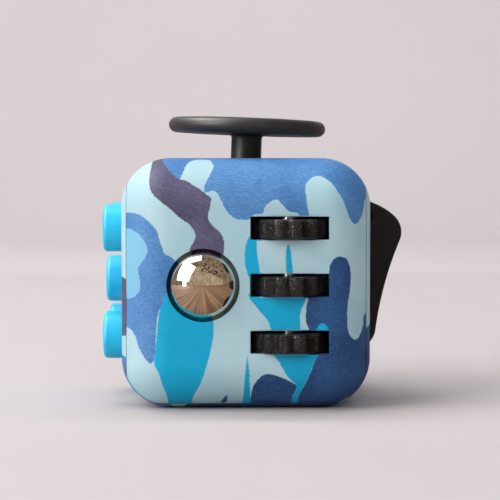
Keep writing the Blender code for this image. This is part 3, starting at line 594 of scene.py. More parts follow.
def rounded_box(half: float, corner: float, flat: int, bend: int) -> Surface:
    """A cube with rounded edges and corners.

    Every point of a cube is pulled to the nearest point of its core, a smaller cube, and then set one
    corner radius out from there. The bends are stepped by equal angles.

    Args:
        half: half the side.
        corner: the radius of the edges.
        flat: steps across a face's flat part.
        bend: steps round half an edge.

    Returns:
        The closed surface.
    """
    core = half - corner
    edge = core + corner * np.tan(np.linspace(0.0, np.pi / 4, bend + 1))[1:]
    line = np.concatenate([-edge[::-1], np.linspace(-core, core, flat + 1), edge])
    u, v = np.meshgrid(line, line, indexing="ij")
    out = np.full_like(u, half)
    sides = [
        np.stack(order, -1).reshape(-1, 3)
        for order in ((u, v, out), (v, u, -out), (out, u, v), (-out, v, u), (v, out, u), (u, -out, v))
    ]
    points = np.concatenate(sides)
    inner = np.clip(points, -core, core)
    arm = points - inner
    points = inner + corner * arm / np.linalg.norm(arm, axis=1, keepdims=True)
    one = grid(len(line), len(line))
    quads = np.concatenate([one + side * len(line) ** 2 for side in range(6)])
    return Surface(points, quads)


@dataclass(frozen=True)
class Hole:
    """A hole whose rim is rounded: half its width and height, its corners, its depth and its rim's radius."""

    width: float
    height: float
    corner: float
    depth: float
    flare: float
    steps: int = 12

    def surface(self) -> Surface:
        """The hole's space: a stack of rounded rectangles that widen near the face.

        The widening is flare - sqrt(flare^2 - h^2) at a height h above the start of the rim.

        Returns:
            The closed space, as (across, up, out) with the face at out = 0.
        """
        rim = np.linspace(0.0, np.pi / 2, 6)
        stack = [(0.0, -self.depth), *zip(self.flare * (1 - np.cos(rim)), self.flare * (np.sin(rim) - 1))]
        turn = np.linspace(0.0, np.pi / 2, self.steps)[None, :] + (np.arange(4) * np.pi / 2)[:, None]
        sign_x = np.array([1, -1, -1, 1])[:, None]
        sign_y = np.array([1, 1, -1, -1])[:, None]
        loops = []
        for widening, out in [*stack, (self.flare, 3.0)]:
            radius = self.corner + widening
            x = sign_x * (self.width - self.corner) + radius * np.cos(turn)
            y = sign_y * (self.height - self.corner) + radius * np.sin(turn)
            loops.append(np.stack([x, y, np.full_like(x, out)], -1).reshape(-1, 3))
        count = 4 * self.steps
        ends = [np.arange(count)[::-1], np.arange(count) + (len(loops) - 1) * count]
        return Surface(np.concatenate(loops), grid(len(loops), count, False, True), ends)


def round_hole(radius: float, depth: float, flare: float, steps: int = 24) -> Hole:
    """A round hole with a rounded rim."""
    return Hole(radius, radius, radius, depth, flare, steps)


def block(low: Sequence[float], high: Sequence[float]) -> Surface:
    """A box between two opposite corners, each face a grid of one."""
    corner = np.array([[x, y, z] for x in (0, 1) for y in (0, 1) for z in (0, 1)], float)
    points = np.asarray(low) + corner * (np.asarray(high) - np.asarray(low))
    quads = np.array([[0, 1, 3, 2], [4, 6, 7, 5], [0, 4, 5, 1], [2, 3, 7, 6], [0, 2, 6, 4], [1, 5, 7, 3]])
    return Surface(points, quads)


def smooth_outline(points: Sequence[Sequence[float]], steps: int = 6) -> Array:
    """A closed curve through the points: a cubic between each two, whose slopes come from their neighbours."""
    p = np.asarray(points, float)
    before, after, beyond = np.roll(p, 1, 0), np.roll(p, -1, 0), np.roll(p, -2, 0)
    t = np.linspace(0.0, 1.0, steps, endpoint=False)[:, None, None]
    curve = p + 0.5 * (after - before) * t
    curve = curve + 0.5 * (2 * before - 5 * p + 4 * after - beyond) * t**2
    curve = curve + 0.5 * (3 * p - before - 3 * after + beyond) * t**3
    return curve.transpose(1, 0, 2).reshape(-1, 2)


def inside_distance(places: Array, outline: Array) -> Array:
    """How far each place lies inside a closed outline, negative outside it.

    The distance is the least one to any edge, and its sign comes from how many edges lie to the right.

    Args:
        places: (x, z) of each place.
        outline: the curve's points.

    Returns:
        One distance for each place.
    """
    least = np.full(len(places), np.inf)
    inside = np.zeros(len(places), bool)
    x, z = places[:, 0], places[:, 1]
    for start, end in zip(outline, np.roll(outline, -1, 0)):
        edge = end - start
        share = np.clip(((places - start) @ edge) / max(edge @ edge, 1e-12), 0.0, 1.0)
        gap = places - start - share[:, None] * edge
        least = np.minimum(least, (gap**2).sum(1))
        if start[1] != end[1]:
            crosses = (start[1] > z) != (end[1] > z)
            inside ^= crosses & (x < start[0] + (z - start[1]) * edge[0] / edge[1])
    return np.where(inside, 1.0, -1.0) * np.sqrt(least)


# ------------------------------------------------------------------ places
def box(node: str) -> tuple[Array, Array]:
    """The two opposite corners of a CAD node's box, in millimetres."""
    low, high = (np.array(end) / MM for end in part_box(node))
    return low, high


def placed(name: str, data: bpy.types.ID) -> bpy.types.Object:
    """A new object in the scene, at the origin."""
    obj = bpy.data.objects.new(name, data)
    bpy.context.scene.collection.objects.link(obj)
    return obj


class Face(Enum):
    """A face of the cube, by its across, up and out directions."""

    FRONT = ((1, 0, 0), (0, 0, 1), (0, -1, 0))
    BACK = ((-1, 0, 0), (0, 0, 1), (0, 1, 0))
    LEFT = ((0, -1, 0), (0, 0, 1), (-1, 0, 0))
    RIGHT = ((0, 1, 0), (0, 0, 1), (1, 0, 0))
    TOP = ((1, 0, 0), (0, 1, 0), (0, 0, 1))
    BOTTOM = ((1, 0, 0), (0, -1, 0), (0, 0, -1))


@dataclass(frozen=True)
class Layout:
    """Where the cube's middle is, and half its side."""

    middle: Array
    half: float

    @classmethod
    def read(cls) -> "Layout":
        """Takes both from the two shells' boxes."""
        side_low, side_high = box("side_bottom_shell")
        front_low, front_high = box("front_top_back_shell")
        half = (side_high[0] - side_low[0]) / 2
        middle = [(side_low[0] + side_high[0]) / 2, (front_low[1] + front_high[1]) / 2, side_low[2] + half]
        return cls(np.array(middle), float(half))

    def on(self, face: Face, points: Array, at: Sequence[float] = (0.0, 0.0)) -> Array:
        """Points drawn in a face's axes, moved to the row frame.

        Args:
            face: the face.
            points: (across, up, out) with the face at out = 0.
            at: the place on the face that they are drawn about.

        Returns:
            The points in millimetres in the row frame.
        """
        shifted = points + np.array([at[0], at[1], self.half])
        return shifted @ np.array(face.value, float) + self.middle

    def spot(self, node: str, face: Face) -> tuple[float, float]:
        """Where a CAD node's middle lies on a face, as (across, up)."""
        low, high = box(node)
        across, up, _ = np.array(face.value, float) @ ((low + high) / 2 - self.middle)
        return float(across), float(up)

    def reach(self, node: str, face: Face) -> tuple[float, float]:
        """The lowest and highest out of a CAD node, measured from the face."""
        low, high = box(node)
        direction = np.array(face.value[2], float)
        ends = sorted(((low - self.middle) @ direction, (high - self.middle) @ direction))
        return float(ends[0] - self.half), float(ends[1] - self.half)


def show(
    name: str, mesh: bpy.types.Mesh, finish: Finish, body: str, nodes: Sequence[str] = (), sharp: float = 40.0
) -> bpy.types.Object:
    """Puts a finished piece in the scene.

    Args:
        name: the piece's name.
        mesh: its mesh, in the row frame.
        finish: its finish.
        body: the CAD body that it rides on.
        nodes: the CAD nodes that it stands for.
        sharp: the angle in degrees above which an edge stays sharp.

    Returns:
        The object.
    """
    obj = placed(name, mesh)
    mesh.materials.clear()
    mesh.materials.append(Finishes.of(finish))
    mesh.shade_smooth()
    mesh.set_sharp_from_angle(angle=math.radians(sharp))
    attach(obj, body)
    if nodes:
        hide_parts(*nodes)
    LOG.info("%s: %d faces on %s", name, len(mesh.polygons), body)
    return obj


def dress(nodes: Mapping[str, bpy.types.Object], finish: Finish, names: Iterable[str]) -> None:
    """Gives CAD nodes that keep their shape a finish."""
    for name in names:
        slots = nodes[name].data.materials
        slots.clear()
        slots.append(Finishes.of(finish))
        LOG.info("%s: dressed as %s", name, finish.name)


# ------------------------------------------------------------------ casing
@dataclass(frozen=True)
class Patch:
    """One patch of ink: a closed outline as seen from the wheel face, (x, z) from the cube's middle."""

    ink: Ink
    outline: tuple[tuple[float, float], ...]


FRONT_PRINT = (
    Patch(Ink.SKY, (
        (-18, 7.6), (-15.4, 7.6), (-14.2, 7.2), (-13.0, 5.8), (-12.5, 4.5), (-13.2, 3.0), (-13.8, 1.5),
        (-13.5, -0.3), (-14.4, -1.8), (-16, -2.3), (-18, -2.3),
    )),
    Patch(Ink.BLUE, (
        (-18, 9.4), (-15.4, 9.35), (-14.5, 9.3), (-13.5, 8.9), (-12.4, 8.0), (-11.6, 7.0), (-11.3, 6.0),
        (-10.6, 4.2), (-9.3, 3.2), (-8.0, 0.0), (-9.3, -1.2), (-10.4, -1.7), (-11.4, -3.5), (-11.7, -5.4),
        (-11.8, -7.8), (-12.0, -9.4), (-12.4, -10.2), (-13.2, -9.5), (-14.0, -8.2), (-14.5, -6.7),
        (-15.4, -5.7), (-18, -5.4), (-18, -2.0), (-15.4, -1.9), (-14.2, -1.2), (-13.8, -0.1), (-13.9, 0.9),
        (-14.1, 2.1), (-13.2, 3.5), (-12.8, 4.5), (-13.2, 5.6), (-13.9, 6.5), (-14.7, 7.1), (-15.4, 7.3),
        (-18, 7.3),
    )),
    Patch(Ink.BLUE, (
        (-12.6, 19), (-12.3, 16), (-10.8, 14.2), (-9.1, 13.2), (-8.7, 13.6), (-8.2, 14.7), (-7.8, 15.6),
        (-7.2, 16.1), (-6.1, 16.27), (-4.9, 16.22), (-4.4, 15.8), (-4.3, 15.2), (-4.7, 14.4), (-5.5, 12.7),
        (-5.3, 12.0), (-4.4, 12.3), (-3.8, 11.9), (-3.3, 11.0), (-2.6, 9.7), (-1.7, 8.8), (-0.7, 8.5),
        (0.4, 8.6), (0.9, 9.2), (2.0, 9.3),
        (2.3, 10.1), (3.0, 10.8), (3.9, 11.1), (4.5, 10.6), (5.1, 9.9), (5.7, 9.5), (6.5, 9.4), (7.0, 8.8),
        (7.5, 8.4), (8.1, 8.8), (7.8, 10.4), (7.6, 12.8), (8.1, 13.6), (8.8, 14.1), (9.6, 14.1), (10.3, 13.8),
        (11.1, 13.1), (11.8, 12.1), (12.5, 11.0), (13.2, 9.1), (13.7, 8.2), (14.2, 7.9), (14.6, 8.2),
        (15.2, 9.3), (15.7, 11.3), (18, 13), (18, 19),
    )),
    Patch(Ink.NAVY, (
        (8.2, -1.0), (7.65, -3.5), (7.7, -4.8), (8.1, -5.8), (8.6, -7.0), (9.2, -8.6), (8.8, -9.8),
        (8.0, -12.0), (7.1, -13.9), (6.7, -15.0), (6.5, -18), (18, -18), (18, -3.4), (15.6, -3.9), (15.3, -5.3),
        (14.8, -6.7), (14.2, -7.2), (13.4, -6.5), (13.1, -5.1), (13.1, -2.9), (13.5, 0.1), (13.5, 1.8),
        (13.1, 3.2), (12.3, 3.7), (11.5, 3.6), (10.8, 2.7), (10.6, 1.5), (9.8, 0.4),
    )),
    Patch(Ink.NAVY, (
        (0.55, -15.0), (0.8, -13.4), (1.5, -12.2), (2.6, -11.5), (4.3, -11.9), (5.8, -12.6), (6.6, -13.2),
        (6.4, -13.8), (6.0, -14.8), (5.9, -18), (0.5, -18),
    )),
    Patch(Ink.CYAN, (
        (-10.0, -0.8), (-11.2, -3.1), (-11.5, -4.8), (-11.7, -7.2), (-12.0, -10.0), (-11.4, -11.4),
        (-10.9, -13.1), (-10.3, -15.0), (-10.0, -18), (-7.6, -18), (-7.0, -14.8), (-6.0, -12.8),
        (-5.1, -10.1), (-4.4, -7.0), (-4.3, -5.0), (-4.8, -3.0), (-7.0, -2.0),
    )),
    Patch(Ink.CYAN, (
        (0.1, -8.7), (-0.2, -11.5), (-0.45, -14.7), (-0.5, -18), (0.7, -18), (0.5, -14.7), (0.35, -11.5),
    )),
    Patch(Ink.CYAN, ((0.3, 6.3), (-0.2, 4.8), (-0.2, 2.7), (0.4, 1.0), (1.7, 1.0), (1.35, 4.0), (1.2, 6.3))),
    Patch(Ink.CYAN, ((5.35, 5.5), (5.05, 4.0), (5.2, 1.0), (5.95, 1.0), (5.75, 4.0))),
    Patch(Ink.CYAN, (
        (0.5, -0.8), (1.5, -3.1), (2.7, -4.5), (3.2, -5.8), (3.6, -6.6), (6.7, -6.6), (6.9, -3.7), (7.3, -0.8),
    )),
    Patch(Ink.CYAN, (
        (3.5, -8.2), (4.3, -10.1), (5.0, -11.4), (5.8, -12.4), (6.5, -13.2), (6.0, -14.8), (5.9, -18),
        (6.7, -18), (6.8, -14.8), (7.1, -13.9), (8.0, -12.0), (8.8, -9.8), (9.4, -8.2),
    )),
    Patch(Ink.CYAN, ((9.1, -6.2), (9.2, -5.3), (9.8, -4.9), (10.4, -5.3), (10.5, -6.2))),
    Patch(Ink.PLUM, (
        (-12.2, 19), (-12.3, 16.2), (-12.6, 14.3), (-12.6, 13.0), (-12.2, 11.9), (-11.3, 11.0), (-10.0, 10.0),
        (-8.7, 8.8), (-7.5, 8.0), (-6.7, 6.9), (-6.7, 6.0), (-7.4, 4.3), (-6.0, 3.0), (-3.6, 3.0), (-2.9, 5.2),
        (-3.4, 6.8), (-4.4, 7.7), (-5.0, 8.8), (-4.7, 10.4), (-4.6, 11.3), (-5.4, 11.9), (-6.1, 12.5),
        (-7.0, 13.0), (-7.8, 13.5), (-8.9, 13.8), (-9.7, 14.5), (-10.4, 15.3), (-11.1, 16.4), (-11.6, 19),
    )),
    Patch(Ink.NAVY, ((-2.5, -14.3), (-3.0, -14.9), (-3.4, -15.6), (-2.6, -15.5))),
)

SIDE_PRINT = (
    Patch(Ink.PLUM, ((-19, 0.5), (-15.2, 0.3), (-15.0, -3.0), (-15.2, -6.4), (-19, -6.6))),
    Patch(Ink.BLUE, ((-19, -9.8), (-15.4, -9.9), (-13.0, -13.2), (-10.5, -15.0), (-9.0, -19), (-19, -19))),
    Patch(Ink.CYAN, ((-15.2, -12.0), (-13.2, -13.0), (-12.6, -14.6), (-14.0, -16.5), (-16.6, -14.2))),
    Patch(Ink.NAVY, ((-6.5, -15.0), (2.0, -15.2), (11.0, -15.0), (12.5, -19), (-7.5, -19))),
    Patch(Ink.NAVY, ((15.2, -6.5), (19, -6.0), (19, -19), (13.0, -19), (14.0, -13.0))),
)


@dataclass
class Casing:
    """The two shells: one is the front, top and back, the other the left, bottom and right.

    Printed patches are followed up to the first depth of drawn_to and have gone by the second.
    """

    WHEEL_SLOT = Hole(5.1, 1.5, 0.18, 2.6, 0.12)
    WHEEL_POCKET = ((-5.4, -11.0, -9.0), (5.4, 11.0, -1.4))
    ROCKER_OPENING = Hole(5.3, 10.7, 0.5, 2.6, 0.3)
    ROCKER_POCKET = ((-6.8, -11.0, -2.5), (6.8, 11.55, -1.4))
    BUTTON_HOLE = round_hole(3.3, 2.6, 0.22, 16)
    BEZEL_SEAT = (round_hole(5.75, 0.6, 0.12), round_hole(4.75, 3.0, 0.1))
    DIAL_SEAT = (round_hole(9.9, 1.2, 0.25), round_hole(2.15, 3.0, 0.1, 12))

    layout: Layout
    corner: float = 6.5
    wall: float = 2.2
    seam: float = 15.75
    seam_gap: float = 0.06
    lip: float = 12.1
    drawn_to: tuple[float, float] = (-10.0, -6.0)
    flat_steps: int = 60
    bend_steps: int = 16
    screw_boss: float = 1.35
    pilot: float = 0.75
    boss_root: float = -1.4
    clamped: float = 2.2
    pad_radius: float = 9.0
    pad_end: float = -2.9
    ball_sink: float = 3.06
    ball_socket: float = 5.6
    dent_radius: float = 24.0
    dent_depth: float = 1.6
    dent_share: float = 0.88
    cutters: list[bpy.types.Object] = field(default_factory=list)

    def tool(self, surface: Surface, face: Face | None = None, at: Sequence[float] = (0.0, 0.0)) -> bpy.types.Object:
        """A helper solid for the cuts.

        Args:
            surface: its shape, in a face's axes or in the cube's own.
            face: the face, or None for the cube's own axes.
            at: the place on the face.

        Returns:
            The helper.
        """
        points = surface.points + self.layout.middle if face is None else self.layout.on(face, surface.points, at)
        obj = placed("tool", Surface(points, surface.quads, surface.caps).mesh("tool"))
        self.cutters.append(obj)
        return obj

    def joined(self, obj: bpy.types.Object, tools: Iterable[bpy.types.Object], operation: str) -> None:
        """Adds one Boolean for each helper."""
        for tool in tools:
            change = obj.modifiers.new("cut", "BOOLEAN")
            change.operation = operation
            change.solver = "MANIFOLD"
            change.object = tool

    def shell(self, name: str, outer: bool) -> bpy.types.Object:
        """A shell before its holes: the rounded cube, hollowed, and split at the seam.

        Args:
            name: the object's name.
            outer: True for the left, bottom and right shell.

        Returns:
            The object, with its Booleans live.
        """
        half = self.layout.half
        body = rounded_box(half, self.corner, self.flat_steps, self.bend_steps)
        obj = self.tool(body)
        self.cutters.remove(obj)
        obj.name = name
        cavity = self.tool(rounded_box(half - self.wall, self.corner - self.wall, 4, 6))
        play = self.seam_gap / 2 if outer else -self.seam_gap / 2
        edge, lip = self.seam + play, self.lip - play
        region = self.tool(block((-edge, -40, -edge), (edge, 40, 40)))
        between = self.tool(block((-50, -lip, -50), (50, lip, lip)))
        self.joined(obj, [cavity], "DIFFERENCE")
        if outer:
            self.joined(region, [between], "DIFFERENCE")
            self.joined(obj, [region], "DIFFERENCE")
        else:
            self.joined(obj, [region], "INTERSECT")
            self.joined(obj, [between], "DIFFERENCE")
        return obj

    def bosses(self, screws: Mapping[str, Face]) -> tuple[list[bpy.types.Object], list[bpy.types.Object]]:
        """A boss and its pilot hole for each screw.

        Args:
            screws: each screw's CAD node and the face that it is driven towards.

        Returns:
            The bosses and the holes.
        """
        steps = 28
        made, holes = [], []
        for node, face in screws.items():
            spot = self.layout.spot(node, face)
            foot, tip = self.layout.reach(node, face)
            seat = foot + self.clamped
            root, radius = self.boss_root, self.screw_boss
            rod = turned([(0, root), (radius, root), (radius, seat), (0, seat)], steps)
            made.append(self.tool(rod, face, spot))
            bore = turned([(0, tip + 0.2), (self.pilot, tip + 0.2), (self.pilot, seat - 1), (0, seat - 1)], steps)
            holes.append(self.tool(bore, face, spot))
        return made, holes

    def mouth(self) -> Surface:
        """The ball's mouth: a round bowl about the ball's centre, and a narrower lip at the face."""
        start = math.degrees(math.asin((self.ball_sink - 0.12) / self.ball_socket))
        bowl = arc((0.0, -self.ball_sink), self.ball_socket, -90.0, start, 40)
        lips = [(4.73, -0.06), (4.75, -0.015), (4.8, 0.0), (4.86, 0.01), (4.86, 3.0)]
        return turned([(0.0, bowl[0][1])] + bowl[1:] + lips + [(0.0, 3.0)])

    def dent(self) -> Surface:
        """The thumb dent: a shallow cap of a large sphere, narrowed front to back."""
        angles = np.radians(fine(-90.0, -60.0, 60))
        lens = [(self.dent_radius * math.cos(a), self.dent_radius * math.sin(a)) for a in angles]
        cap = turned([(0.0, lens[0][1])] + lens[1:] + [(0.0, lens[-1][1])], 128)
        cap.points[:, 2] += self.dent_radius - self.dent_depth
        cap.points[:, 1] *= self.dent_share
        return cap

    def front_holes(self) -> list[bpy.types.Object]:
        """The wheel slots, the ball's mouth, the bezel's seat and the dial's recess."""
        spots = [self.layout.spot(f"thumbwheel_{number}", Face.FRONT) for number in (1, 2, 3)]
        holes = [self.tool(self.WHEEL_SLOT.surface(), Face.FRONT, spot) for spot in spots]
        holes.append(self.tool(block(*self.WHEEL_POCKET), Face.FRONT, (spots[1][0], 0.0)))
        holes.append(self.tool(self.mouth(), Face.FRONT, self.layout.spot("roller_ball", Face.FRONT)))
        holes += [self.tool(hole.surface(), Face.TOP) for hole in self.BEZEL_SEAT]
        holes += [self.tool(hole.surface(), Face.BACK) for hole in self.DIAL_SEAT]
        return holes

    def side_holes(self) -> list[bpy.types.Object]:
        """The five button holes, the rocker's opening and the thumb dent."""
        spots = [self.layout.spot(node, Face.LEFT) for node in PushButtons.NODES]
        holes = [self.tool(self.BUTTON_HOLE.surface(), Face.LEFT, spot) for spot in spots]
        place = (self.layout.spot("rocker", Face.RIGHT)[0], self.layout.spot("rocker_pin", Face.RIGHT)[1])
        holes.append(self.tool(self.ROCKER_OPENING.surface(), Face.RIGHT, place))
        holes.append(self.tool(block(*self.ROCKER_POCKET), Face.RIGHT, place))
        holes.append(self.tool(self.dent(), Face.BOTTOM))
        return holes

    def printed(self, mesh: bpy.types.Mesh, patches: Iterable[Patch]) -> None:
        """Stores each ink's field and the drawn share on the mesh.

        The drawn share is 1 up to the first of drawn_to, in the cube's Y, and falls to 0 at the second.

        Args:
            mesh: the shell's mesh, in the row frame.
            patches: what is drawn on it.
        """
        points = np.empty(len(mesh.vertices) * 3, np.float32)
        mesh.vertices.foreach_get("co", points)
        local = points.reshape(-1, 3) / MM - self.layout.middle
        start, end = self.drawn_to
        share = np.clip((local[:, 1] - start) / (end - start), 0.0, 1.0)
        share = 1.0 - share * share * (3.0 - 2.0 * share)
        near = share > 0.0
        places = local[near][:, [0, 2]]
        fields = {ink: np.full(len(local), -4.0) for ink in Ink}
        for ink in Ink:
            best = np.full(len(places), -4.0)
            for patch in patches:
                if patch.ink is ink:
                    best = np.maximum(best, inside_distance(places, smooth_outline(patch.outline)))
            fields[ink][near] = best
        for name, numbers in [("drawn_share", share)] + [(ink.value, fields[ink]) for ink in Ink]:
            layer = mesh.attributes.new(name, "FLOAT", "POINT")
            layer.data.foreach_set("value", numbers.astype(np.float32))

    def settled(self, obj: bpy.types.Object, name: str, patches: Iterable[Patch]) -> bpy.types.Mesh:
        """The shell's mesh with its Booleans applied and its print stored."""
        graph = bpy.context.evaluated_depsgraph_get()
        mesh = bpy.data.meshes.new_from_object(obj.evaluated_get(graph))
        mesh.name = name
        bpy.data.objects.remove(obj, do_unlink=True)
        self.printed(mesh, patches)
        return mesh

    def build(self) -> None:
        """Builds, cuts and prints both shells."""
        front = self.shell("front_work", False)
        driven = {f"{kind}_screw_{n}": Face.FRONT for kind in ("cradle", "ball") for n in (1, 2)}
        driven |= {f"base_screw_{n}": Face.TOP for n in (1, 2)}
        bosses, pilots = self.bosses(driven)
        self.joined(front, bosses, "UNION")
        self.joined(front, self.front_holes() + pilots, "DIFFERENCE")
        side = self.shell("side_work", True)
        driven = {f"button_screw_{n}": Face.LEFT for n in (1, 2)}
        driven |= {f"housing_screw_{n}": Face.RIGHT for n in (1, 2)}
        bosses, pilots = self.bosses(driven)
        root, end = self.boss_root, self.pad_end
        pad = turned([(0, root), (self.pad_radius, root), (self.pad_radius, end), (0, end)], 64)
        pad.points[:, 1] *= self.dent_share
        self.joined(side, [*bosses, self.tool(pad, Face.BOTTOM)], "UNION")
        self.joined(side, self.side_holes() + pilots, "DIFFERENCE")
        front_mesh = self.settled(front, "casing_front_top_back", FRONT_PRINT)
        side_mesh = self.settled(side, "casing_sides_bottom", SIDE_PRINT)
        for tool in self.cutters:
            bpy.data.objects.remove(tool, do_unlink=True)
        show("casing_front_top_back", front_mesh, Finishes.camo, "casing", ["front_top_back_shell"], 50.0)
        show("casing_sides_bottom", side_mesh, Finishes.camo, "casing", ["side_bottom_shell"], 50.0)


# ------------------------------------------------------------------ front face
@dataclass
class RollerBall:
    """The polished ball."""

    layout: Layout
    radius: float = 5.22

    def build(self) -> None:
        """A sphere: a half circle turned about its axis."""
        low, high = box("roller_ball")
        half_circle = [(0.0, self.radius)] + arc((0.0, 0.0), self.radius, 88.5, -88.5, 118) + [(0.0, -self.radius)]
        ball = turned(half_circle, 240)
        ball.points += (low + high) / 2
        show("steel_ball", ball.mesh("steel_ball"), Finishes.ball_steel, "ball", ["roller_ball"])


@dataclass
class Thumbwheels:
    """Three lobed wheels. The radius dips by a flattened cosine between the lobes."""

    layout: Layout
    radius: float = 4.9
    thick: float = 2.5
    bore: float = 0.85
    lobes: int = 12
    dip: float = 0.55
    rounding: float = 0.3
    phases: tuple[float, float, float] = (-4.3, -1.8, 4.1)
    drop: float = 0.1
    chamfer: float = 0.15
    steps: int = 480

    def surface(self, phase: float) -> Surface:
        """One wheel: its outline carried along the path from bore to rim to bore.

        Args:
            phase: how far the wheel is turned, in degrees.

        Returns:
            The surface, in the cube's X and Y, with its thickness along Z.
        """
        turn = np.linspace(0.0, 2 * np.pi, self.steps, endpoint=False)
        valley = (0.5 + 0.5 * np.cos(self.lobes * turn)) ** 2
        rim = self.radius - self.dip * valley
        half = self.thick / 2
        top = arc((-self.rounding, half - self.rounding), self.rounding, 90.0, 0.0, 7)
        path = [(1.0, -1.1, half), (0.5, -0.5, half)] + [(1.0, e, h) for e, h in top]
        path += [(1.0, e, -h) for e, h in reversed(top)]
        path += [(0.5, -0.5, -half), (1.0, -1.1, -half)]
        rows = []
        angle = turn + math.radians(phase)
        for _, inset, height in path:
            reach = rim + inset
            rows.append(np.stack([reach * np.sin(angle), -reach * np.cos(angle), 0 * angle + height], -1))
        wide, deep = self.bore + self.chamfer, half - self.chamfer
        hub = [(wide, half), (self.bore, deep), (self.bore, -deep), (wide, -half)]
        inner = [np.stack([r * np.sin(angle), -r * np.cos(angle), 0 * angle + h], -1) for r, h in hub]
        rows = inner[:2][::-1] + rows + inner[2:][::-1]
        return Surface(np.concatenate(rows), grid(len(rows), self.steps, True, True))

    def build(self) -> None:
        """Puts the three wheels on the axle's line."""
        for number, phase in enumerate(self.phases, start=1):
            node = f"thumbwheel_{number}"
            low, high = box("wheel_axle")
            wheel_low, wheel_high = box(node)
            middle = (low + high) / 2
            middle[2] = (wheel_low[2] + wheel_high[2]) / 2 - self.drop
            wheel = self.surface(phase)
            wheel.points += middle
            show(f"lobed_wheel_{number}", wheel.mesh(node), Finishes.wheel_black, node, [node], 60.0)


# ------------------------------------------------------------------ top face
@dataclass
class Joystick:
    """The disc on its stem, and the ring that it comes out of."""

    layout: Layout
    disc: float = 10.8
    thick: float = 2.05
    top: float = 5.4
    stem: float = 2.1
    sink: float = 5.0
    knob: float = 2.9
    tail: float = 1.0
    lean: float = 2.05
    ring: float = 5.6
    ring_rise: float = 0.03
    body: float = 4.6
    mouth: float = 3.5
    seat_foot: float = 0.48
    seat_span: tuple[float, float] = (28.7, 57.3)

    def stick(self) -> Surface:
        """The stick about its pivot, leaning to the right."""
        high = self.sink + self.top
        edge = self.thick / 2
        under = high - self.thick
        neck = math.degrees(math.acos(self.stem / self.knob))
        end = -math.degrees(math.acos(self.tail / self.knob))
        profile = [(0.0, high - 0.05), (4.0, high - 0.04), (8.0, high - 0.01)]
        profile += arc((self.disc - edge, high - edge), edge, 90.0, -90.0, 32)
        profile += [(6.0, under), (self.stem + 0.9, under)]
        profile += arc((self.stem + 0.6, under - 0.6), 0.6, 90.0, 180.0, 8)
        profile += [(self.stem, 5.0), (self.stem, 3.4)] + arc((0.0, 0.0), self.knob, neck, end, 30)
        profile += [(self.tail, -3.9), (0.0, -3.9)]
        stick = turned(profile, 160)
        turn = math.radians(self.lean)
        x, z = stick.points[:, 0].copy(), stick.points[:, 2].copy()
        stick.points[:, 0] = x * math.cos(turn) + z * math.sin(turn)
        stick.points[:, 2] = z * math.cos(turn) - x * math.sin(turn)
        stick.points = self.layout.on(Face.TOP, stick.points + np.array([0.0, 0.0, -self.sink]))
        return stick

    def bezel(self) -> Surface:
        """The ring: a rounded lip, a round seat for the knob, and a body that goes into the shell."""
        rise, flange, seat = self.ring_rise, -0.5, self.knob + 0.1
        outer, inner = 0.25, 0.15
        profile = arc((self.ring - outer, rise - outer), outer, 90.0, 0.0, 8)
        profile += [(self.ring, flange), (self.body, flange), (self.body, -self.sink + seat * self.seat_foot)]
        profile += arc((0.0, -self.sink), seat, *self.seat_span, 12)
        profile += arc((self.mouth + inner, rise - inner), inner, 180.0, 90.0, 6)
        ring = turned(profile, 128)
        ring.points = self.layout.on(Face.TOP, ring.points)
        return ring

    def build(self) -> None:
        """Builds both."""
        show("joystick", self.stick().mesh("joystick"), Finishes.light_raised_black, "joystick", ["joystick_stick"])
        show("joystick_ring", self.bezel().mesh("ring"), Finishes.shade_darkened_black, "casing", ["joystick_bezel"])


# ------------------------------------------------------------------ left face
@dataclass
class PushButtons:
    """Five round caps with a flange behind the wall and a short post."""

    NODES = ("button_centre", "button_top_front", "button_bottom_front", "button_top_back", "button_bottom_back")

    layout: Layout
    radius: float = 3.15
    rounding: float = 0.6
    flange: float = 3.75
    post: float = 1.1

    def build(self) -> None:
        """Turns one cap for each button."""
        for node in self.NODES:
            foot, rise = self.layout.reach(node, Face.LEFT)
            profile = [(0.0, rise), (1.4, rise - 0.004), (2.2, rise - 0.02)]
            profile += arc((self.radius - self.rounding, rise - self.rounding - 0.03), self.rounding, 86.0, 0.0, 14)
            profile += [(self.radius, 1.0), (self.radius, -2.5), (self.flange, -2.5), (self.flange, -3.4)]
            profile += [(self.post, -3.4), (self.post, foot), (0.0, foot)]
            cap = turned(profile, 112)
            cap.points = self.layout.on(Face.LEFT, cap.points, self.layout.spot(node, Face.LEFT))
            name = node.replace("button", "button_cap")
            show(name, cap.mesh(name), Finishes.cyan, node, [node])


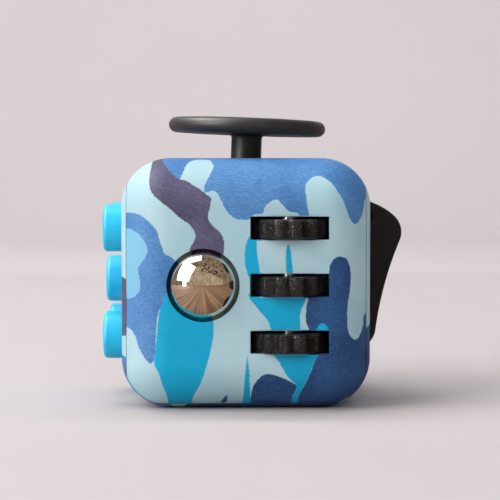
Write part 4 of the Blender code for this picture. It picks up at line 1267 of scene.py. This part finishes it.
# ------------------------------------------------------------------ right face
@dataclass
class RockerSwitch:
    """The rocker: its side outline carried across the width, with rounded sides."""

    layout: Layout
    width: float = 10.0
    reach: float = 10.4
    sink: float = 2.95
    tilt: float = 15.0
    face: float = 5.65
    dish: float = 0.45
    lip: float = 6.6
    tip_round: float = 2.4
    rounding: float = 0.45

    def half_outline(self) -> list[tuple[float, float]]:
        """The upper half from the middle of the face to the nose, as (out, up) about the pin."""
        face = [(self.face + self.dish * (up / self.lip) ** 2, up) for up in fine(0.0, self.lip, 20)]
        lip = face[-1][0]
        tip_end = math.degrees(math.asin((lip - self.tip_round) / self.reach))
        ends = math.radians(tip_end)
        arc_end = (self.reach * math.sin(ends), self.reach * math.cos(ends))
        corner = (lip, arc_end[1] - (lip - arc_end[0]) * math.tan(ends))
        tip = []
        for t in fine(0.0, 1.0, 14)[1:-1]:
            weights = ((1 - t) ** 2, 2 * t * (1 - t), t * t)
            rows = zip(face[-1], corner, arc_end)
            tip.append(tuple(sum(w * value for w, value in zip(weights, row)) for row in rows))
        low = math.degrees(math.asin(-2.5 / self.reach))
        end = [(y, x) for x, y in arc((0.0, 0.0), self.reach, tip_end, low, 24)]
        inside = self.reach - 1.3
        hollow = [(-2.5, inside - 0.3), (1.4, inside - 0.3), (1.4, 2.4), (-1.05, 2.1), (-3.7, 0.6)]
        return face + tip + end + hollow

    def surface(self) -> Surface:
        """The outline moved inwards along its own normals near each side, by r - sqrt(r^2 - d^2)."""
        upper = self.half_outline()
        outline = np.array(upper + [(-4.0, 0.0)] + [(out, -up) for out, up in upper[1:]][::-1])
        along = np.roll(outline, -1, 0) - np.roll(outline, 1, 0)
        normal = np.stack([along[:, 1], -along[:, 0]], -1)
        normal /= np.linalg.norm(normal, axis=1, keepdims=True)
        r = self.rounding
        bend = np.linspace(0.0, np.pi / 2, 8)
        flat = self.width / 2 - r
        places = np.concatenate([-flat - r * np.sin(bend[::-1]), flat + r * np.sin(bend)])
        insets = np.concatenate([r * (1 - np.cos(bend[::-1])), r * (1 - np.cos(bend))])
        rows = []
        tilt = math.radians(self.tilt)
        for place, inset in zip(places, insets):
            line = outline - inset * normal
            out = line[:, 0] * math.cos(tilt) + line[:, 1] * math.sin(tilt)
            up = line[:, 1] * math.cos(tilt) - line[:, 0] * math.sin(tilt)
            rows.append(np.stack([0 * up + place, up, out], -1))
        count = len(outline)
        ends = [np.arange(count)[::-1], np.arange(count) + (len(rows) - 1) * count]
        return Surface(np.concatenate(rows), grid(len(rows), count, False, True), ends)

    def build(self) -> None:
        """Hangs the rocker on its pin."""
        rocker = self.surface()
        spot = self.layout.spot("rocker_pin", Face.RIGHT)
        rocker.points[:, 2] -= self.sink
        rocker.points = self.layout.on(Face.RIGHT, rocker.points, spot)
        show("rocker_switch", rocker.mesh("rocker_switch"), Finishes.shade_darkened_black, "rocker", ["rocker"], 50.0)


# ------------------------------------------------------------------ back face
@dataclass
class SpinningDial:
    """The dial: a rounded disc whose top dips into a round dimple for a fingertip."""

    layout: Layout
    radius: float = 9.6
    rise: float = 1.4
    rounding: float = 0.7
    dimple_out: float = 5.4
    dimple_sphere: float = 6.0
    dimple_depth: float = 0.9
    blend: float = 0.12
    back: float = -0.9
    post: tuple[float, float] = (2.0, -2.5)
    bore: tuple[float, float] = (0.75, -0.3)

    def build(self) -> None:
        """Turns the dial, then lowers the points inside the dimple onto its sphere."""
        profile = [(0.0, self.rise)] + [(r, self.rise) for r in fine(0.12, self.radius - self.rounding, 72)]
        profile += arc((self.radius - self.rounding, self.rise - self.rounding), self.rounding, 90.0, 0.0, 12)[1:]
        (post, foot), (bore, roof) = self.post, self.bore
        profile += [(self.radius, self.back), (post, self.back), (post, foot), (bore, foot), (bore, roof), (0.0, roof)]
        dial = turned(profile, 240)
        x, y, z = dial.points.T
        away = x**2 + (y - self.dimple_out) ** 2
        centre = self.rise + self.dimple_sphere - self.dimple_depth
        bowl = centre - np.sqrt(np.maximum(self.dimple_sphere**2 - away, 0.0))
        soft = self.blend
        level = np.clip(0.5 + 0.5 * (bowl - z) / soft, 0.0, 1.0)
        lowered = bowl * (1 - level) + z * level - soft * level * (1 - level)
        inside = (z > self.rise - 0.02) & (away < self.dimple_sphere**2)
        dial.points[:, 2] = np.where(inside, lowered, z)
        dial.points = self.layout.on(Face.BACK, dial.points)
        show("finger_dial", dial.mesh("finger_dial"), Finishes.dial_black, "dial", ["dial"])


# ------------------------------------------------------------------ pieces that give way
@dataclass(frozen=True)
class Give:
    """A piece that flattens as something is pressed into it."""

    node: str
    joint: str
    face: Face
    presser: str
    travel: float


@dataclass
class SoftPieces:
    """Snap domes, silent pads and springs. For each one that a joint presses, the share of its height that would be
    left is worked out and logged.
    """

    DOMES = tuple(
        Give(f"snap_dome_{place}", f"button_{place}_press", Face.LEFT, f"button_{place}", 0.8)
        for place in ("centre", "top_front", "bottom_front")
    ) + (Give("ball_dome", "ball_click", Face.FRONT, "ball_cup", 0.8),)
    PADS = tuple(
        Give(f"silent_pad_{place}", f"button_{place}_press", Face.LEFT, f"button_{place}", 0.8)
        for place in ("top_back", "bottom_back")
    )
    DETENT = Give("detent_spring", "detent_plunge", Face.RIGHT, "detent_plunger", 0.6)

    layout: Layout
    spare: float = 0.01
    least: float = 0.04
    sheet: float = 0.15
    pad_edge: float = 0.2
    crown_radius: float = 1.4
    crown_dip: float = 0.05
    wire: float = 0.22
    turns: float = 3.5
    detent_turns: float = 5.5

    def size(self, give: Give) -> tuple[float, float, float]:
        """A piece's radius, foot and top, with the last two measured out from its face."""
        low, high = box(give.node)
        foot, top = self.layout.reach(give.node, give.face)
        across = np.abs(np.array(give.face.value[0], float))
        return float((high - low) @ across) / 2, foot, top

    def soften(self, obj: bpy.types.Object, give: Give) -> None:
        """Works out how much of a piece's height its presser would leave, logs it, and gives the piece its own mesh.

        What is left of it at the joint's limit is what the presser leaves: its height, less the travel
        beyond the gap between them.

        Args:
            obj: the piece.
            give: what presses it.
        """
        _, foot, top = self.size(give)
        gap = max(self.layout.reach(give.presser, give.face)[0] - top, 0.0)
        keep = max((top - foot - max(give.travel - gap, 0.0) - self.spare) / (top - foot), self.least)
        anchor = self.layout.on(give.face, np.array([0.0, 0.0, foot]), self.layout.spot(give.node, give.face))
        tuple(anchor * MM)
        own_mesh(obj)
        LOG.info("%s: keeps %.2f of its height", obj.name, keep)

    def place(self, surface: Surface, give: Give, finish: Finish, kind: str) -> None:
        """Sets a piece on its face and shows it, and works out its give if it has a joint.

        Args:
            surface: the piece, in its face's axes.
            give: the node that it stands for, and what presses it.
            finish: its material.
            kind: what is added to the node's name.
        """
        surface.points = self.layout.on(give.face, surface.points, self.layout.spot(give.node, give.face))
        name = f"{give.node}_{kind}"
        obj = show(name, surface.mesh(name), finish, "casing", [give.node])
        if give.joint:
            self.soften(obj, give)

    def domes(self) -> None:
        """Snap domes: a shallow cosine arch of thin sheet turned about its axis."""
        for give in self.DOMES:
            radius, foot, top = self.size(give)
            height = top - foot - self.sheet
            across = np.linspace(0.0, radius, 24)
            arch = foot + height * np.cos(across / radius * np.pi / 2)
            outer = list(zip(across, arch + self.sheet))
            inner = list(zip(across, arch))[::-1]
            self.place(turned(outer + inner, 72), give, Finishes.spring_steel, "sheet")

    def pads(self) -> None:
        """Silent pads: round cushions with a soft edge and a ring-shaped crown."""
        for give in self.PADS:
            radius, foot, top = self.size(give)
            edge, flat = self.pad_edge, radius - self.pad_edge
            profile = [(0.0, foot)] + arc((flat, foot + edge), edge, -90.0, 0.0, 8)
            profile += arc((flat, top - edge), edge, 0.0, 90.0, 8)
            crown = fine(self.crown_radius, 0.0, 12)
            profile += [(r, top - self.crown_dip * math.cos(r / flat * math.pi / 2)) for r in crown]
            self.place(turned(profile, 72), give, Finishes.silicone, "cushion")

    def coil(self, radius: float, foot: float, top: float, turns: float) -> Surface:
        """A circle carried along a helix whose pitch closes up at both ends.

        Args:
            radius: the helix's radius.
            foot: where the coil starts, out from its face.
            top: where it ends.
            turns: how many times it goes round.

        Returns:
            The closed surface.
        """
        t = np.linspace(0.0, 1.0, int(turns * 32))
        around = 2 * np.pi * turns * t
        share = 0.55 * t + 0.45 * (0.5 - 0.5 * np.cos(np.pi * t))
        rise = foot + self.wire + (top - foot - 2 * self.wire) * share
        line = np.stack([radius * np.cos(around), radius * np.sin(around), rise], -1)
        along = np.gradient(line, axis=0)
        along /= np.linalg.norm(along, axis=1, keepdims=True)
        out = np.stack([np.cos(around), np.sin(around), 0 * around], -1)
        side = np.cross(along, out)
        section = np.linspace(0.0, 2 * np.pi, 16, endpoint=False)[None, :, None]
        tube = line[:, None] + self.wire * (np.cos(section) * out[:, None] + np.sin(section) * side[:, None])
        ends = [np.arange(16)[::-1], np.arange(16) + (len(t) - 1) * 16]
        return Surface(tube.reshape(-1, 3), grid(len(t), 16, False, True), ends)

    def springs(self) -> None:
        """The spring under the joystick's gimbal, and the one behind the rocker's plunger."""
        centring = Give("joystick_spring", "", Face.TOP, "", 0.0)
        for give, turns in ((centring, self.turns), (self.DETENT, self.detent_turns)):
            radius, foot, top = self.size(give)
            coil = self.coil(radius - self.wire, foot, top, turns)
            self.place(coil, give, Finishes.spring_steel, "wire")

    def build(self) -> None:
        """Builds them all."""
        self.domes()
        self.pads()
        self.springs()


# ------------------------------------------------------------------ pieces that keep their CAD shape
@dataclass
class Mechanisms:
    """The pieces inside, dressed in their materials."""

    nodes: Mapping[str, bpy.types.Object]

    def build(self) -> None:
        """Dresses each group of nodes."""
        screws = [name for name in self.nodes if "_screw_" in name]
        dress(self.nodes, Finishes.screw_steel, [*screws, "dial_washer"])
        dress(self.nodes, Finishes.pin_steel, ["wheel_axle", "rocker_pin", "detent_plunger"])
        nylon = ["ball_cup", "ball_retainer", "wheel_cradle", "rocker_housing", "button_plate", "joystick_gimbal"]
        dress(self.nodes, Finishes.nylon, nylon)
        dress(self.nodes, Finishes.light_raised_black, ["joystick_base"])


# ------------------------------------------------------------------ studio
@dataclass
class Lamp:
    """A soft rectangular light: its place and size in metres, and what it shows in and lights."""

    name: str
    place: tuple[float, float, float]
    size: tuple[float, float]
    power: float
    colour: Colour
    mirrored: bool = True
    lights_matt: bool = True

    def build(self, target: Array) -> None:
        """Adds the light.

        Args:
            target: where it is aimed, in metres.
        """
        data = bpy.data.lights.new(self.name, "AREA")
        data.shape = "RECTANGLE"
        data.size, data.size_y = self.size
        data.energy = self.power
        data.color = self.colour
        lamp = placed(self.name, data)
        lamp.location = self.place
        lamp.visible_glossy = self.mirrored
        lamp.visible_diffuse = self.lights_matt
        towards = Vector(target - np.array(self.place))
        lamp.rotation_euler = towards.to_track_quat("-Z", "Y").to_euler()


@dataclass
class Studio:
    """The floor, the backdrop, the lights and the camera. The camera is placed from the wheel face."""

    layout: Layout
    floor: Colour = (0.50, 0.465, 0.47)
    backdrop_start: float = 0.55
    lens: float = 125.6
    distance: float = 225.0
    height: float = 31.0
    aside: float = -4.0
    pitch: float = 2.52
    yaw: float = -1.125

    def sweep(self) -> None:
        """The floor and backdrop in one piece: flat, then a quarter circle, then upright."""
        radius = 0.35
        bend = np.linspace(0.0, np.pi / 2, 24)
        start = self.backdrop_start
        along = np.concatenate([[-1.6], start + radius * np.sin(bend), [start + radius]])
        high = np.concatenate([[0.0], radius * (1 - np.cos(bend)), [1.8]])
        across = np.linspace(-1.6, 1.6, 9)
        level = np.zeros_like(across)
        points = np.stack([across + 0 * along[:, None], along[:, None] + level, high[:, None] + level], -1)
        mesh = Surface(points.reshape(-1, 3) / MM, grid(*points.shape[:2])).mesh("studio_sweep", weld=False)
        mesh.materials.append(Finishes.of(Paint("studio_floor", self.floor)))
        mesh.shade_smooth()
        placed("studio_sweep", mesh)

    def card(self, name: str, finish: Finish, corners: Sequence[Sequence[float]]) -> None:
        """A flat card that only shows in reflections.

        Args:
            name: its name.
            finish: its finish.
            corners: its four corners in order, in metres.
        """
        mesh = Surface(np.array(corners) / MM, np.array([[0, 1, 2, 3]])).mesh(name, weld=False)
        mesh.materials.append(Finishes.of(finish))
        obj = placed(name, mesh)
        obj.visible_camera = False
        obj.visible_diffuse = False
        obj.visible_shadow = False

    def room(self) -> None:
        """What the ball mirrors: a planked floor, plain walls and ceiling, and a dark hanging, each a card that glows
        in its own colour as painted light.
        """
        boards = Boards("mirrored_boards", (0.26, 0.155, 0.09), (0.10, 0.056, 0.032), (2.2, 140.0, 1.0), 0.25)
        wall = Boards("mirrored_wall", (0.62, 0.53, 0.38), (0.40, 0.33, 0.22), (150.0, 90.0, 300.0), 0.6)
        hanging = Boards(
            "mirrored_hanging", (0.58, 0.44, 0.29), (0.01, 0.008, 0.006), (110.0, 110.0, 75.0), 0.4, fade=-0.16
        )
        sides = Boards("mirrored_sides", (0.36, 0.29, 0.21), (0.20, 0.155, 0.115), (200.0, 300.0, 400.0), 0.55)
        top = 0.0003
        self.card("mirrored_boards", boards, ((-2.5, -1.1, top), (2.5, -1.1, top), (2.5, 0.3, top), (-2.5, 0.3, top)))
        self.card("mirrored_wall", wall, ((-2.5, -1.1, 0), (2.5, -1.1, 0), (2.5, -1.1, 1.6), (-2.5, -1.1, 1.6)))
        self.card(
            "mirrored_hanging", hanging, ((-0.3, -0.9, 0.80), (1.3, -0.9, 0.38), (1.3, 0.0, 1.3), (-0.3, -0.1, 1.3))
        )
        for name, x in (("mirrored_left", -1.9), ("mirrored_right", 1.9)):
            self.card(name, sides, ((x, -1.1, 0), (x, 0.6, 0), (x, 0.6, 1.6), (x, -1.1, 1.6)))
        self.card("mirrored_ceiling", sides, ((-1.9, -1.1, 1.6), (1.9, -1.1, 1.6), (1.9, 0.6, 1.6), (-1.9, 0.6, 1.6)))

    def lights(self) -> None:
        """A window-like light from the upper left, weaker ones round it, and an even surround."""
        target = self.layout.middle * MM
        lamps = (
            Lamp("window", (-0.50, -0.27, 0.37), (0.5, 0.55), 4.8, (1.0, 0.965, 0.935)),
            Lamp("window_foot", (-0.66, -0.46, 0.12), (0.12, 0.30), 3.2, (1.0, 0.98, 0.96), lights_matt=False),
            Lamp("front", (0.05, -0.75, 0.5), (0.6, 0.4), 1.7, (0.93, 0.97, 1.0), mirrored=False),
            Lamp("top", (-0.22, 0.03, 0.60), (0.4, 0.4), 1.5, (0.97, 0.98, 1.0)),
            Lamp("window_head", (-0.34, 0.08, 0.52), (0.26, 0.2), 3.8, (1.0, 0.98, 0.96), lights_matt=False),
            Lamp("right", (0.5, -0.05, 0.3), (0.3, 0.4), 0.25, (0.93, 0.96, 1.0), mirrored=False),
        )
        for lamp in lamps:
            lamp.build(target)
        backdrop = Lamp("backdrop", (0.0, 0.25, 0.9), (1.0, 0.3), 8.5, (1.0, 0.97, 0.98), mirrored=False)
        backdrop.build(np.array([0.0, 0.9, 0.35]))
        world = bpy.data.worlds.new("studio_air")
        world.use_nodes = True
        surround = world.node_tree.nodes["Background"]
        surround.inputs["Color"].default_value = (0.82, 0.82, 0.86, 1.0)
        surround.inputs["Strength"].default_value = 0.2
        bpy.context.scene.world = world

    def camera(self) -> None:
        """A long lens a little above the cube and to its left, looking slightly down."""
        data = bpy.data.cameras.new("camera")
        data.lens = self.lens
        data.sensor_width = 36.0
        data.clip_start = 0.01
        data.clip_end = 20.0
        camera = placed("camera", data)
        x, y, _ = self.layout.middle
        camera.location = ((x + self.aside) * MM, (y - self.layout.half - self.distance) * MM, self.height * MM)
        camera.rotation_euler = (math.radians(90.0 - self.pitch), 0.0, math.radians(self.yaw))
        bpy.context.scene.camera = camera

    def build(self) -> None:
        """Builds the studio."""
        self.sweep()
        self.room()
        self.lights()
        self.camera()
        bpy.context.scene.view_settings.view_transform = "Standard"


def main() -> None:
    """Builds every piece in order."""
    logging.basicConfig(level=logging.INFO, format="%(message)s")
    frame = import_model()
    layout = Layout.read()
    Mechanisms(frame["nodes"]).build()
    pieces = (Casing, RollerBall, Thumbwheels, Joystick, PushButtons, RockerSwitch, SpinningDial, SoftPieces, Studio)
    for piece in pieces:
        piece(layout).build()


if __name__ == "__main__":
    main()
